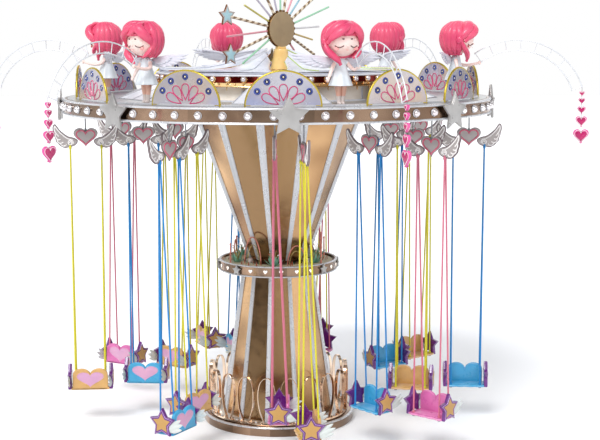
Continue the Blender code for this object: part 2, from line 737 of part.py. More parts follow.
def hanger_outline():
    """The winged heart of a hanger, drawn about the heart's centre."""
    heart = heart_outline(*PLATE_HEART, 12)
    right = heart[1:4] + [(0.185, 0.000), (0.360, 0.060), (0.510, 0.222), (0.545, 0.164),
                          (0.510, 0.010), (0.450, -0.110), (0.342, -0.172), (0.230, -0.140)]
    right += heart[4:6]
    return [heart[0]] + right + [heart[6]] + [(-x, y) for x, y in reversed(right)]


def seat_back_outline():
    """The chair's back, with two rounded lobes along its top."""
    width, height = SEAT_BACK[0], SEAT_BACK[1]
    shoulder = height * 0.72
    points = [(-width / 2, 0), (width / 2, 0), (width / 2, shoulder)]
    for centre in (width / 4, -width / 4):
        for k in (1, 2, 3):
            angle = math.pi * k / 4
            points.append((centre + width / 4 * math.cos(angle),
                           shoulder + (height - shoulder) * math.sin(angle)))
        if centre > 0:
            points.append((0, shoulder))
    points.append((-width / 2, shoulder))
    return points


def seat_side_outline():
    """A chair's side: a star with a small wing swept rearwards along +X."""
    star = star_outline(SEAT_STAR_RADIUS, 0.52)
    return star[:8] + [(0.250, -0.060), (0.330, 0.140), (0.150, 0.080), star[9]]


def build_swing_mesh():
    """One swing at the front: rod, winged heart, four ropes and chair, with the pivot at 0,0,0.

    The chair faces -X, and outwards is -Y.
    """
    drop = -PIVOT_HEIGHT
    centre = PLATE_CENTRE + drop
    pieces = [place(plate([hanger_outline()], PLATE_THICKNESS),
                    Matrix.Translation((0, 0, centre)) @ facing_along())]
    pieces.append(bar((0, 0, 0.016), (0, 0, centre + 0.05), ROD_RADIUS, 4))
    rear = SEAT_SHIFT
    pan_width, pan_depth, pan_thickness = SEAT_PAN
    pan_middle = SEAT_PAN_BOTTOM + pan_thickness / 2 + drop
    pieces.append(box((pan_depth, pan_width, pan_thickness), (rear, 0, pan_middle)))
    back = plate([seat_back_outline()], SEAT_BACK[2])
    back_x = rear + pan_depth / 2 - SEAT_BACK[2] / 2 - 0.01
    for side in (-1, 1):
        for end in ((rear - ROPE_FOOT[1], side * ROPE_FOOT[0], pan_middle),
                    (back_x, side * ROPE_FOOT[0], ROPE_FOOT[2] + drop)):
            top = (math.copysign(0.013, end[0]), side * ROPE_TOP[0], ROPE_TOP[1] + drop)
            pieces.append(bar(top, end, ROPE_RADIUS, 5))
    pieces.append(place(back, Matrix.Translation((back_x, 0, SEAT_PAN_BOTTOM + 0.005 + drop))
                        @ facing_along()))
    for side in (-1, 1):
        star = plate([seat_side_outline()], SEAT_STAR_THICKNESS)
        frame = Matrix.Translation((rear, side * SEAT_STAR_SPREAD, SEAT_STAR_CENTRE + drop))
        pieces.append(place(star, frame @ facing_out()))
    solid = combine("swing", pieces)
    mesh = solid.data
    bpy.data.objects.remove(solid, do_unlink=True)
    return mesh


def build_swings():
    """Two rings of nine swings, each with its origin on its own hinge."""
    master = build_swing_mesh()
    rings = (("outer", OUTER_RING, OUTER_BEARINGS, OUTER_COLOURS),
             ("inner", INNER_RING, INNER_BEARINGS, INNER_COLOURS))
    for ring, radius, bearings, colours in rings:
        for k, degrees in enumerate(bearings):
            bearing = math.radians(degrees)
            item = bpy.data.objects.new("swing", master.copy())
            bpy.context.scene.collection.objects.link(item)
            item.location = at_bearing(bearing, radius, PIVOT_HEIGHT).translation
            item.rotation_euler = (0, 0, bearing)
            finish(item, f"swing_{ring}_{k + 1}", "seat_" + colours[k])


clear_scene()
RIDE = bpy.data.collections.new("chair_swing_ride")
bpy.context.scene.collection.children.link(RIDE)
MATERIALS = {
    "rose_gold": material("rose_gold", (0.72, 0.52, 0.36), 1.0, 0.15),
    "bronze": material("bronze", (0.52, 0.34, 0.18), 1.0, 0.12),
    "silver": material("silver", (0.62, 0.62, 0.62), 0.9, 0.3),
    "deck_mirror": material("deck_mirror", (0.60, 0.61, 0.62), 1.0, 0.1),
    "panel_silver": material("panel_silver", (0.50, 0.50, 0.52), 0.9, 0.25),
    "cream": material("cream", (0.78, 0.72, 0.60), 0.0, 0.4),
    "white": material("white", (0.80, 0.80, 0.82), 0.0, 0.4),
    "pearl_white": material("pearl_white", (0.75, 0.76, 0.78), 0.3, 0.3),
    "butter": material("butter", (0.85, 0.68, 0.32), 0.0, 0.4),
    "old_gold": material("old_gold", (0.45, 0.34, 0.18), 0.7, 0.4),
    "leaf": material("leaf", (0.45, 0.60, 0.42), 0.0, 0.5),
}
for seat_name, seat_colour in SEAT_COLOURS.items():
    MATERIALS["seat_" + seat_name] = material("seat_" + seat_name, seat_colour, 0.0, 0.35)

build_plinth()
build_fence()
build_tower()
build_collar()
build_garden()
build_cone()
build_deck()
build_band()
build_panels()
build_tier()
build_roof()
build_mast()
build_sunburst()
build_heart_arcs()
build_dolls()
build_swings()
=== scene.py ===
"""Dresses the chair swing ride: its metalwork, lights, dolls, sunburst and hanging chairs."""

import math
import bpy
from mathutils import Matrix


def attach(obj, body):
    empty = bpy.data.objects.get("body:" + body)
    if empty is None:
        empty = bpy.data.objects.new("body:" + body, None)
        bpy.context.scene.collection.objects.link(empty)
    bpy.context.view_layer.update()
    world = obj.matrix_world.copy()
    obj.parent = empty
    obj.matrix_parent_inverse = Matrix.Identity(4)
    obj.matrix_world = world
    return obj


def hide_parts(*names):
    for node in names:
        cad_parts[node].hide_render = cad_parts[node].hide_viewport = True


bl_info = {
    "name": "Chair swing ride",
    "version": (1, 0, 0),
    "blender": (4, 5, 0),
    "location": "3D View > Sidebar > Swing ride",
    "description": "Builds the finished look of a turning chair swing ride",
    "category": "Object",
}

import bmesh
import bpy
from bpy.props import FloatProperty, FloatVectorProperty, IntProperty, PointerProperty
from bpy.types import Operator, Panel, PropertyGroup
from mathutils import Matrix, Vector

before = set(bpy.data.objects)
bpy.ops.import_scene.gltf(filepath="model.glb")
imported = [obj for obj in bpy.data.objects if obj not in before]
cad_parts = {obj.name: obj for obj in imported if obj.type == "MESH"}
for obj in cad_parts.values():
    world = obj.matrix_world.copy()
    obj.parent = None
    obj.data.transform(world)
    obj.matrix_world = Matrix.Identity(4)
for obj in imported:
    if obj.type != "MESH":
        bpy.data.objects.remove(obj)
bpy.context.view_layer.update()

DOLL_BEARING = math.radians(19.4)
PANEL_BEARINGS = (-22.8, 2.6, 33.7, 60.3, 94.5, 121.5, 156.2, 182.6, 216.2, 242.6, 274.8, 300.7)
PIVOT_HEIGHT = 5.400
PANEL_RING, DOLL_RING, FENCE_RING, PEARL_RING = 3.340, 3.020, 1.18, 3.590
BAND_MIDDLE, STAR_MIDDLE, LAMP_HEIGHT, DECK_TOP = 5.478, 5.475, 2.728, 5.6
OUTER_RING, INNER_RING = 3.250, 2.320
OUTER_BEARINGS = (8, 48.5, 86, 127, 166, 205, 241.5, 274.8, 331)
INNER_BEARINGS = (0, 40, 79.5, 120.5, 160, 199, 234, 266, 322.5)
OUTER_COLOURS = ("gold", "pink", "blue", "gold", "gold", "gold", "pink", "gold", "blue")
INNER_COLOURS = ("pink", "blue", "gold", "blue", "pink", "blue", "gold", "blue", "gold")
ARC_TURN = math.radians(2.0)
ARC_CENTRE = (4.010, 5.4146)
ARC_OUTER, ARC_INNER = 1.1354, 0.9654
ARC_START, ARC_END = math.radians(126.8), math.radians(18.8)
HEARTS = ((5.665, 0.091), (5.545, 0.116), (5.395, 0.141), (5.210, 0.190), (4.965, 0.257))
MAST_SHIFT = 0.060
SUN_TURN = math.radians(46)
SUN_CENTRE = 6.725
RAYS = (
    (-47.5, 0.476, "ray_pink", 0), (-27.7, 0.926, "stripes", 0), (-12.8, 0.790, "ray_gold", 0),
    (3.0, 0.932, "ray_white", 0), (18.1, 1.242, "ray_green", 0), (33.6, 1.220, "stripes", 1),
    (48.0, 1.050, "ray_blue", 0), (61.7, 1.150, "ray_pink", 0), (77.0, 1.250, "stripes", 1),
    (90.8, 1.200, "ray_green", 0), (106.8, 1.100, "ray_lilac", 0), (122.2, 1.250, "stripes", 1),
    (138.5, 1.150, "ray_lilac", 0), (154.9, 0.925, "ray_yellow", 0), (169.9, 1.260, "stripes", 1),
    (185.3, 1.240, "ray_pink", 0), (199.3, 1.240, "stripes", 1), (211.9, 1.043, "ray_green", 0),
)


def shade(red, green, blue):
    """A colour given as screen values, as the linear values that a shader takes."""
    return tuple((v / 255 / 12.92) if v < 11 else ((v / 255 + 0.055) / 1.055) ** 2.4
                 for v in (red, green, blue))


def colour_property(name, description, default):
    """A colour that a user can change in the panel."""
    return FloatVectorProperty(name=name, description=description, subtype="COLOR", size=3,
                               min=0.0, max=1.0, default=default)


class MetalSettings(PropertyGroup):
    """Colours of the ride's metalwork."""

    bronze: colour_property("Bronze", "Mirror panels of the cone and tower", shade(218, 176, 130))
    rose_gold: colour_property("Rose gold", "Bands, plinth and fence", shade(176, 146, 122))
    silver: colour_property("Silver", "Ribs, rims and stars", shade(206, 207, 211))


class CrownSettings(PropertyGroup):
    """Sizes and counts on the crown."""

    pearl_count: IntProperty(name="Pearls", description="Pearls round the band", default=60,
                             min=12, max=120)
    pearl_diameter: FloatProperty(name="Pearl size", description="Diameter of a band pearl",
                                  default=0.110, unit="LENGTH")
    tier_pearl_count: IntProperty(name="Tier pearls", description="Pearls round the tier",
                                  default=48, min=12, max=96)
    hair: colour_property("Hair", "The dolls' hair", shade(222, 66, 112))


class ChairSettings(PropertyGroup):
    """Sizes and colours of the swings."""

    rope_diameter: FloatProperty(name="Rope", description="Diameter of a rope", default=0.028,
                                 unit="LENGTH")
    gold: colour_property("Gold chair", "Shell of a gold chair", shade(214, 166, 98))
    blue: colour_property("Blue chair", "Shell of a blue chair", shade(58, 164, 210))
    pink: colour_property("Pink chair", "Shell of a pink chair", shade(214, 108, 170))
    star: colour_property("Side stars", "The stars at a chair's sides", shade(108, 36, 128))


class StageSettings(PropertyGroup):
    """Light and floor round the ride."""

    sun_strength: FloatProperty(name="Key light", description="Strength of the key light",
                                default=2.0, min=0.0)
    floor: colour_property("Floor", "The pale floor", (0.97, 0.97, 0.97))


class RideSettings(PropertyGroup):
    """Everything that a user can change on the ride."""

    metal: PointerProperty(type=MetalSettings, name="Metal", description="Metal colours")
    crown: PointerProperty(type=CrownSettings, name="Crown", description="Crown sizes")
    chairs: PointerProperty(type=ChairSettings, name="Chairs", description="Swing sizes")
    stage: PointerProperty(type=StageSettings, name="Stage", description="Light and floor")


def settings():
    """The ride's settings in the current scene."""
    return bpy.context.scene.swing_ride


# Finishes


class Finish:
    """One procedural material, built outwards from its shader."""

    def __init__(self, name, colour, metallic=0.0, roughness=0.4, **sockets):
        self.material = bpy.data.materials.new(name)
        self.material.use_nodes = True
        self.tree = self.material.node_tree
        self.shader = self.tree.nodes["Principled BSDF"]
        self.colour = colour
        self.shader.inputs["Base Color"].default_value = (*colour, 1.0)
        self.shader.inputs["Metallic"].default_value = metallic
        self.shader.inputs["Roughness"].default_value = roughness
        for label, value in sockets.items():
            self.shader.inputs[label.replace("_", " ")].default_value = value
        place = self.tree.nodes.new("ShaderNodeTexCoord")
        self.here = place.outputs["Object"]

    def node(self, kind, inputs=None, **properties):
        """Add a node, set its properties and feed its inputs."""
        made = self.tree.nodes.new(kind)
        for label, value in properties.items():
            setattr(made, label, value)
        for key, value in (inputs or {}).items():
            if isinstance(value, bpy.types.NodeSocket):
                self.tree.links.new(value, made.inputs[key])
            else:
                made.inputs[key].default_value = value
        return made

    def mapped(self, stretch=(1, 1, 1), turn=(0, 0, 0)):
        """Object coordinates, stretched and turned."""
        return self.node("ShaderNodeMapping", {"Vector": self.here, "Scale": stretch,
                                               "Rotation": turn}).outputs[0]

    def noise(self, scale, detail=3.0, stretch=(1, 1, 1)):
        """A cloudy pattern."""
        return self.node("ShaderNodeTexNoise", {"Vector": self.mapped(stretch), "Scale": scale,
                                                "Detail": detail}).outputs[0]

    def bands(self, scale, stretch=(1, 1, 1), turn=(0, 0, 0), distortion=0.0, direction="Z"):
        """Fine parallel bands."""
        wave = self.node("ShaderNodeTexWave", {"Vector": self.mapped(stretch, turn),
                                               "Scale": scale, "Distortion": distortion})
        wave.bands_direction = direction
        return wave.outputs["Fac"]

    def around(self, steps, shift=0.0):
        """A different random value for each of so many segments round the ride's axis."""
        radial = self.node("ShaderNodeTexGradient", {"Vector": self.here},
                           gradient_type="RADIAL").outputs[1]
        count = self.node("ShaderNodeMath", {0: radial, 1: float(steps)}, operation="MULTIPLY")
        moved = self.node("ShaderNodeMath", {0: count.outputs[0], 1: shift}, operation="ADD")
        whole = self.node("ShaderNodeMath", {0: moved.outputs[0]}, operation="FLOOR")
        return self.node("ShaderNodeTexWhiteNoise", {"W": whole.outputs[0]},
                         noise_dimensions="1D").outputs[0]

    def tint(self, pattern, other, low=0.3, high=0.7):
        """Blend the colour towards another where the pattern is high."""
        span = self.node("ShaderNodeMapRange", {"Value": pattern, "From Min": low,
                                                "From Max": high})
        mix = self.node("ShaderNodeMix", {"Factor": span.outputs[0]}, data_type="RGBA")
        source = self.shader.inputs["Base Color"]
        if source.is_linked:
            self.tree.links.new(source.links[0].from_socket, mix.inputs[6])
        else:
            mix.inputs[6].default_value = (*self.colour, 1.0)
        mix.inputs[7].default_value = (*other, 1.0)
        self.tree.links.new(mix.outputs[2], source)
        return self

    def polish(self, pattern, low, high):
        """Let roughness run between two values over a pattern."""
        span = self.node("ShaderNodeMapRange", {"Value": pattern, "From Min": 0.3,
                                                "From Max": 0.7, "To Min": low, "To Max": high})
        self.tree.links.new(span.outputs[0], self.shader.inputs["Roughness"])
        return self

    def relief(self, pattern, depth, strength=1.0):
        """Raise the surface slightly where the pattern is high."""
        bump = self.node("ShaderNodeBump", {"Height": pattern, "Distance": depth,
                                            "Strength": strength})
        self.tree.links.new(bump.outputs[0], self.shader.inputs["Normal"])
        return self


def mirror_metal(name, colour, darker, rough=(0.07, 0.14), panels=0, spread=0.9):
    """Polished sheet metal with slow waviness."""
    made = Finish(name, colour, 1.0, rough[0])
    # Darker patches from slow noise: painted reflection of the surroundings, baked into the base
    # colour.
    made.tint(made.noise(spread, 2.0), darker, 0.42, 0.66)
    if panels:
        # Darker facets, one random darkness for each facet round the axis: painted reflection,
        # baked into the base colour.
        made.tint(made.around(panels, 0.3533), tuple(v * 0.45 for v in colour), 0.30, 0.85)
    made.polish(made.noise(7.0), *rough)
    return made.relief(made.noise(3.0, 1.0), 0.0035, 0.5)


def satin_metal(name, colour, metallic=0.9, rough=(0.22, 0.36), grain=160.0):
    """Satin metal with a fine brushed grain."""
    made = Finish(name, colour, metallic, rough[0])
    made.tint(made.noise(4.0), tuple(v * 0.8 for v in colour))
    made.polish(made.noise(12.0), *rough)
    return made.relief(made.noise(grain, 2.0, (1, 1, 0.15)), 0.0006, 0.4)


def smooth_metal(name, colour, metallic=0.45, rough=(0.24, 0.34)):
    """Smooth light metal with faint lines drawn along its length."""
    made = Finish(name, colour, metallic, rough[0])
    made.tint(made.noise(2.5, 2.0, (1, 1, 0.3)), tuple(v * 0.86 for v in colour))
    made.polish(made.noise(6.0), *rough)
    return made.relief(made.noise(4.0, 1.0, (1, 1, 0.3)), 0.0006, 0.15)


def moulded(name, colour, other=None, rough=(0.25, 0.38), coat=0.35, grain=55.0):
    """Painted glass-fibre or plastic with a little mottling and orange peel."""
    made = Finish(name, colour, 0.0, rough[0], Coat_Weight=coat, Coat_Roughness=0.12)
    made.tint(made.noise(5.0), other or tuple(v * 0.82 for v in colour))
    made.polish(made.noise(9.0), *rough)
    return made.relief(made.noise(grain, 1.0), 0.0008, 0.35)


def rope_finish(name, colour):
    """Braided rope: slanting strands down its length."""
    made = Finish(name, colour, 0.0, 0.55)
    strands = made.bands(34.0, (1, 1, 1), (0.6, 0.5, 0), 1.5)
    made.tint(strands, tuple(v * 0.62 for v in colour), 0.35, 0.8)
    return made.relief(strands, 0.003, 0.8)


def hair_finish(name, colour):
    """Smooth moulded hair with faint combed strands."""
    made = Finish(name, colour, 0.0, 0.38, Coat_Weight=0.2)
    strands = made.bands(24.0, (1.0, 1.0, 0.25), (0.3, 0.2, 0), 6.0, "X")
    made.tint(strands, tuple(v * c for v, c in zip(colour, (0.72, 0.55, 0.62))), 0.2, 0.9)
    made.tint(made.noise(3.0), shade(232, 92, 120))
    return made.relief(strands, 0.002, 0.4)


def feather_finish(name, colour):
    """Moulded feathers with fine barbs."""
    made = Finish(name, colour, 0.0, 0.42, Coat_Weight=0.15)
    barbs = made.bands(30.0, (0.4, 0.4, 1), (0.1, 0.1, 0.0), 1.0)
    made.tint(barbs, tuple(v * 0.86 for v in colour), 0.3, 0.9)
    return made.relief(barbs, 0.0015, 0.4)


def speckled(name, colour, other, rough=0.5, scale=40.0):
    """A leafy or pebbly surface in two tones."""
    made = Finish(name, colour, 0.0, rough)
    cells = made.node("ShaderNodeTexVoronoi", {"Vector": made.here, "Scale": scale}).outputs[0]
    made.tint(cells, other, 0.1, 0.5)
    return made.relief(cells, 0.004, 0.5)


def glowing(name, colour, strength):
    """A frosted lamp with a slightly uneven glow."""
    made = moulded(name, colour, coat=0.8)
    made.shader.inputs["Emission Color"].default_value = (*colour, 1.0)
    made.shader.inputs["Emission Strength"].default_value = strength
    return made


def make_finishes():
    """Every finish of the ride, by name."""
    metal, chairs, crown = settings().metal, settings().chairs, settings().crown
    bronze, rose, silver = tuple(metal.bronze), tuple(metal.rose_gold), tuple(metal.silver)
    # On these mirror metals the second, darker colour and the darker facets round the axis are
    # painted reflection.
    mirror_metal("bronze_mirror", bronze, shade(104, 68, 42), (0.14, 0.24), 12, 0.6)
    mirror_metal("rose_gold_band", rose, shade(118, 90, 72), (0.12, 0.22), 24)
    mirror_metal("rose_gold_strip", shade(246, 222, 198), shade(204, 164, 132), (0.1, 0.2))
    mirror_metal("deck_mirror", shade(176, 178, 184), shade(150, 150, 156), (0.05, 0.1))
    mirror_metal("dark_red_mirror", shade(140, 40, 34), shade(90, 46, 30), (0.08, 0.18), 48)
    mirror_metal("tier_gold", shade(240, 206, 150), shade(208, 160, 104), (0.14, 0.24))
    smooth_metal("silver_trim", silver)
    smooth_metal("rib_silver", shade(212, 214, 218))
    satin_metal("star_silver", shade(186, 184, 182), 0.65, (0.26, 0.4))
    satin_metal("steel_rod", shade(150, 152, 156))
    satin_metal("gold_trim", shade(206, 182, 70), 0.75, (0.25, 0.35))
    satin_metal("copper_wire", shade(222, 140, 122), 0.6, (0.25, 0.4))
    satin_metal("sun_face", shade(168, 145, 110), 0.15, (0.5, 0.6))
    satin_metal("sun_rim", shade(120, 84, 40), 0.85, (0.2, 0.3))
    satin_metal("arc_white", shade(226, 228, 232), 0.25, (0.3, 0.4))
    panel = mirror_metal("panel_face", shade(190, 188, 196), shade(204, 178, 150), (0.2, 0.3))
    panel.tint(panel.noise(1.7, 1.0), shade(172, 176, 206), 0.5, 0.75)
    panel.shader.inputs["Metallic"].default_value = 0.45
    # The pearl's faintly darker patches are painted reflection.
    pearl = mirror_metal("pearl", shade(246, 244, 246), shade(232, 224, 226), (0.04, 0.08))
    pearl.shader.inputs["Metallic"].default_value = 0.8
    moulded("cream_paint", shade(252, 246, 234), shade(240, 230, 214))
    moulded("white_paint", shade(220, 221, 226), shade(206, 208, 216))
    moulded("roof_white", shade(220, 223, 232), shade(200, 204, 218))
    moulded("roof_green", shade(176, 200, 86))
    moulded("roof_orange", shade(176, 98, 56))
    moulded("butter_paint", shade(246, 214, 142), shade(238, 196, 120))
    moulded("navy_enamel", shade(30, 62, 150), shade(20, 38, 104), (0.08, 0.16), 1.0)
    moulded("gem_dark", shade(24, 24, 40), None, (0.08, 0.16), 1.0)
    # The white bead in each gem's middle is a painted highlight: it stands for the gem's glint.
    moulded("gem_painted_glint", shade(240, 232, 222), shade(214, 196, 172), (0.06, 0.12), 1.0)
    moulded("fan_pink", shade(206, 66, 118), shade(180, 40, 96), (0.15, 0.25), 0.6)
    moulded("skin", shade(248, 226, 218), shade(240, 208, 198), (0.4, 0.5), 0.1)
    moulded("skin_legs", shade(232, 184, 162), shade(220, 160, 138), (0.4, 0.5), 0.1)
    moulded("blush", shade(240, 150, 150), shade(236, 170, 164), (0.4, 0.5), 0.1)
    moulded("lash", shade(92, 52, 52), None, (0.4, 0.5), 0.1)
    moulded("dress_white", shade(224, 230, 234), shade(206, 214, 220), (0.35, 0.45))
    moulded("boot_white", shade(214, 200, 194), shade(200, 188, 184), (0.35, 0.45))
    hair_finish("doll_hair", tuple(crown.hair))
    feather_finish("doll_feather", shade(222, 224, 234))
    feather_finish("chair_feather", shade(208, 214, 210))
    moulded("heart_light", shade(224, 92, 158), shade(206, 66, 136), (0.2, 0.3), 0.5)
    moulded("heart_deep", shade(190, 8, 98), shade(158, 4, 82), (0.2, 0.3), 0.5)
    for label, tone in (("white", (214, 212, 214)), ("green", (160, 214, 178)),
                        ("blue", (150, 194, 208)), ("pink", (222, 150, 162)),
                        ("lilac", (196, 190, 208)), ("yellow", (202, 192, 100)),
                        ("gold", (204, 178, 112)), ("brown", (134, 104, 72)),
                        ("cream", (232, 216, 190))):
        moulded("ray_" + label, shade(*tone))
    moulded("star_blue", shade(172, 210, 214), shade(152, 190, 200))
    satin_metal("star_copper", shade(150, 96, 62), 0.8)
    speckled("moss_bed", shade(226, 214, 190), shade(206, 196, 164), 0.7, 60.0)
    speckled("leaf_green", shade(166, 208, 180), shade(128, 184, 158), 0.45, 18.0)
    moulded("coral", shade(196, 92, 58), shade(150, 60, 34))
    satin_metal("stem_gold", shade(214, 190, 120), 0.6)
    glowing("warm_lamp", shade(255, 240, 226), 0.9)
    smooth_metal("hanger_plate", shade(176, 168, 166), 0.3, (0.3, 0.42))
    satin_metal("hanger_rim", shade(118, 98, 104), 0.4, (0.3, 0.42))
    moulded("hanger_pink", shade(206, 92, 118), None, (0.2, 0.3), 0.6)
    moulded("hanger_white", shade(246, 242, 240), None, (0.25, 0.35), 0.5)
    for label in ("gold", "blue", "pink"):
        tone = tuple(getattr(chairs, label))
        moulded("chair_" + label, tone)
        moulded("pan_" + label, tuple(v + (1 - v) * 0.22 for v in tone), tone)
    rope_finish("rope_gold", shade(232, 222, 48))
    rope_finish("rope_blue", shade(24, 140, 214))
    rope_finish("rope_pink", shade(226, 122, 146))
    moulded("star_purple", tuple(chairs.star), shade(84, 22, 104), (0.2, 0.3), 0.6)
    moulded("star_lilac", shade(206, 172, 224), None, (0.2, 0.3), 0.6)
    speckled("star_inlay", shade(206, 166, 98), shade(186, 142, 78), 0.4, 240.0)
    moulded("heart_lilac", shade(212, 158, 188), shade(200, 150, 186), (0.3, 0.4), 0.4)


def coat(name):
    """A finish by name."""
    return bpy.data.materials[name]


# Shapes


def at_bearing(bearing, radius=0.0, height=0.0):
    """The frame of something built at the front, where outwards is -Y, carried to a bearing."""
    return Matrix.Rotation(bearing, 4, "Z") @ Matrix.Translation((0, -radius, height))


FACING_OUT = Matrix.Rotation(math.radians(90), 4, "X")
FACING_ALONG = Matrix.Rotation(math.radians(-90), 4, "Z") @ FACING_OUT


def facing_out(mesh):
    """Turn a mesh that was drawn flat so that it faces outwards at the front."""
    mesh.transform(FACING_OUT)
    return mesh


def as_mesh(bm, name="shape"):
    """Close a working mesh, with its faces pointing outwards."""
    bmesh.ops.recalc_face_normals(bm, faces=bm.faces)
    mesh = bpy.data.meshes.new(name)
    bm.to_mesh(mesh)
    bm.free()
    return mesh


def evaluated_mesh(item):
    """The plain mesh that an object's curve or modifiers come to; the object is removed."""
    graph = bpy.context.evaluated_depsgraph_get()
    mesh = bpy.data.meshes.new_from_object(item.evaluated_get(graph))
    mesh.transform(item.matrix_world)
    bpy.data.objects.remove(item, do_unlink=True)
    return mesh


def slab(outline, thickness, edge=0.0, holes=(), rounds=2):
    """A flat plate in the XY plane with softened edges, from closed outlines."""
    curve = bpy.data.curves.new("slab", "CURVE")
    curve.dimensions = "2D"
    curve.fill_mode = "BOTH"
    curve.extrude = thickness / 2 - edge
    curve.bevel_depth = edge
    curve.bevel_resolution = rounds
    curve.offset = -edge
    for points in (outline, *holes):
        spline = curve.splines.new("POLY")
        spline.points.add(len(points) - 1)
        for point, (x, y) in zip(spline.points, points):
            point.co = (x, y, 0.0, 1.0)
        spline.use_cyclic_u = True
    item = bpy.data.objects.new("slab", curve)
    bpy.context.scene.collection.objects.link(item)
    mesh = evaluated_mesh(item)
    bm = bmesh.new()
    bm.from_mesh(mesh)
    bmesh.ops.remove_doubles(bm, verts=bm.verts, dist=0.00005)
    return as_mesh(bm)


def lathe(profile, steps=64, closed=False):
    """A profile of (radius, height) points turned about Z; one at radius 0 is a pole."""
    bm = bmesh.new()
    rings = []
    for radius, height in profile:
        if radius < 1e-6:
            rings.append([bm.verts.new((0, 0, height))])
            continue
        rings.append([bm.verts.new((radius * math.cos(2 * math.pi * k / steps),
                                    radius * math.sin(2 * math.pi * k / steps), height))
                      for k in range(steps)])
    pairs = list(zip(rings, rings[1:])) + ([(rings[-1], rings[0])] if closed else [])
    for first, second in pairs:
        for k in range(steps):
            after = (k + 1) % steps
            corners = [first[k % len(first)], first[after % len(first)],
                       second[after % len(second)], second[k % len(second)]]
            loop = [v for n, v in enumerate(corners) if v not in corners[:n]]
            if len(loop) > 2:
                bm.faces.new(loop)
    for ring, whole in ((rings[0], closed), (rings[-1], closed)):
        if len(ring) > 1 and not whole:
            bm.faces.new(ring)
    return as_mesh(bm)


def ball(radius, stretch=(1, 1, 1), columns=20, rows=12):
    """A rounded ball, which may be stretched."""
    bm = bmesh.new()
    bmesh.ops.create_uvsphere(bm, u_segments=columns, v_segments=rows, radius=radius,
                              matrix=Matrix.Diagonal((*stretch, 1.0)))
    return as_mesh(bm)


def sweep(path, radius, sides=8, closed=False, squash=1.0, up=None):
    """A tube along a path, with one radius or one for each point, which may be flattened."""
    points = [Vector(p) for p in path]
    count = len(points)
    radii = [radius] * count if isinstance(radius, (int, float)) else list(radius)
    bm = bmesh.new()
    rings = []
    side = None
    for n, point in enumerate(points):
        before = points[(n - 1) % count] if closed or n else point
        after = points[(n + 1) % count] if closed or n < count - 1 else point
        along = (after - before).normalized()
        if side is None:
            guess = Vector(up) if up else Vector((0, 0, 1))
            if abs(along.dot(guess)) > 0.95:
                guess = Vector((1, 0, 0))
            side = guess.cross(along).normalized()
        side = (side - along * side.dot(along)).normalized()
        over = along.cross(side)
        rings.append([bm.verts.new(point + (side * math.cos(2 * math.pi * k / sides)
                                            + over * math.sin(2 * math.pi * k / sides) * squash)
                                   * radii[n]) for k in range(sides)])
    pairs = list(zip(rings, rings[1:])) + ([(rings[-1], rings[0])] if closed else [])
    for first, second in pairs:
        for k in range(sides):
            after = (k + 1) % sides
            bm.faces.new((first[k], first[after], second[after], second[k]))
    if not closed:
        bm.faces.new(rings[0])
        bm.faces.new(rings[-1])
    return as_mesh(bm)


def smooth_path(points, steps=6, closed=False):
    """A smooth curve through a few points."""
    points = [Vector(p if len(p) == 3 else (p[0], p[1], 0)) for p in points]
    count = len(points)
    made = []
    spans = count if closed else count - 1
    for n in range(spans):
        a, b, c, d = (points[(n + k) % count] if closed else points[min(max(n + k, 0), count - 1)]
                      for k in (-1, 0, 1, 2))
        for step in range(steps):
            t = step / steps
            made.append(0.5 * (2 * b + (c - a) * t + (2 * a - 5 * b + 4 * c - d) * t * t
                               + (3 * b - a - 3 * c + d) * t ** 3))
    if not closed:
        made.append(points[-1])
    return made


def smooth_outline(points, steps=5):
    """A closed smooth outline in the plane through a few points."""
    return [(p.x, p.y) for p in smooth_path(points, steps, closed=True)]


def leaf(length, width, thick=0.012, bend=0.0, point=0.6, steps=8, across=4):
    """A lens-shaped leaf or feather along +X, thinning to its edge and bent upwards."""
    bm = bmesh.new()
    sheets = []
    for face in (1, -1):
        rows = []
        for n in range(steps + 1):
            t = n / steps
            swell = math.sin(math.pi * min(1.0, t ** point)) ** 0.7 if 0 < n < steps else 0
            half = width / 2 * swell
            row = []
            for k in range(-across, across + 1):
                s = k / across
                lens = thick / 2 * (1 - s * s) * math.sin(math.pi * t) ** 0.5 if half else 0
                row.append((length * t, half * s, bend * length * t * t + face * lens))
            rows.append(row)
        sheets.append(rows)
    made = {}

    def vert(co):
        key = tuple(round(c, 5) for c in co)
        if key not in made:
            made[key] = bm.verts.new(co)
        return made[key]

    for rows in sheets:
        for first, second in zip(rows, rows[1:]):
            for k in range(len(first) - 1):
                loop = []
                for co in (first[k], first[k + 1], second[k + 1], second[k]):
                    v = vert(co)
                    if v not in loop:
                        loop.append(v)
                if len(loop) > 2 and not bm.faces.get(loop):
                    bm.faces.new(loop)
    return as_mesh(bm)


def star_outline(radius, waist=0.5):
    """A five-pointed star with one point up."""
    return [((radius if k % 2 == 0 else radius * waist) * math.cos(math.radians(90 + 36 * k)),
             (radius if k % 2 == 0 else radius * waist) * math.sin(math.radians(90 + 36 * k)))
            for k in range(10)]


def heart_outline(width, height, steps=40):
    """A heart about its own centre, from the usual sine curve."""
    points = []
    for k in range(steps):
        t = 2 * math.pi * k / steps
        x = 16 * math.sin(t) ** 3
        y = 13 * math.cos(t) - 5 * math.cos(2 * t) - 2 * math.cos(3 * t) - math.cos(4 * t)
        points.append((x / 32 * width, (y + 2.5) / 29 * height))
    return points


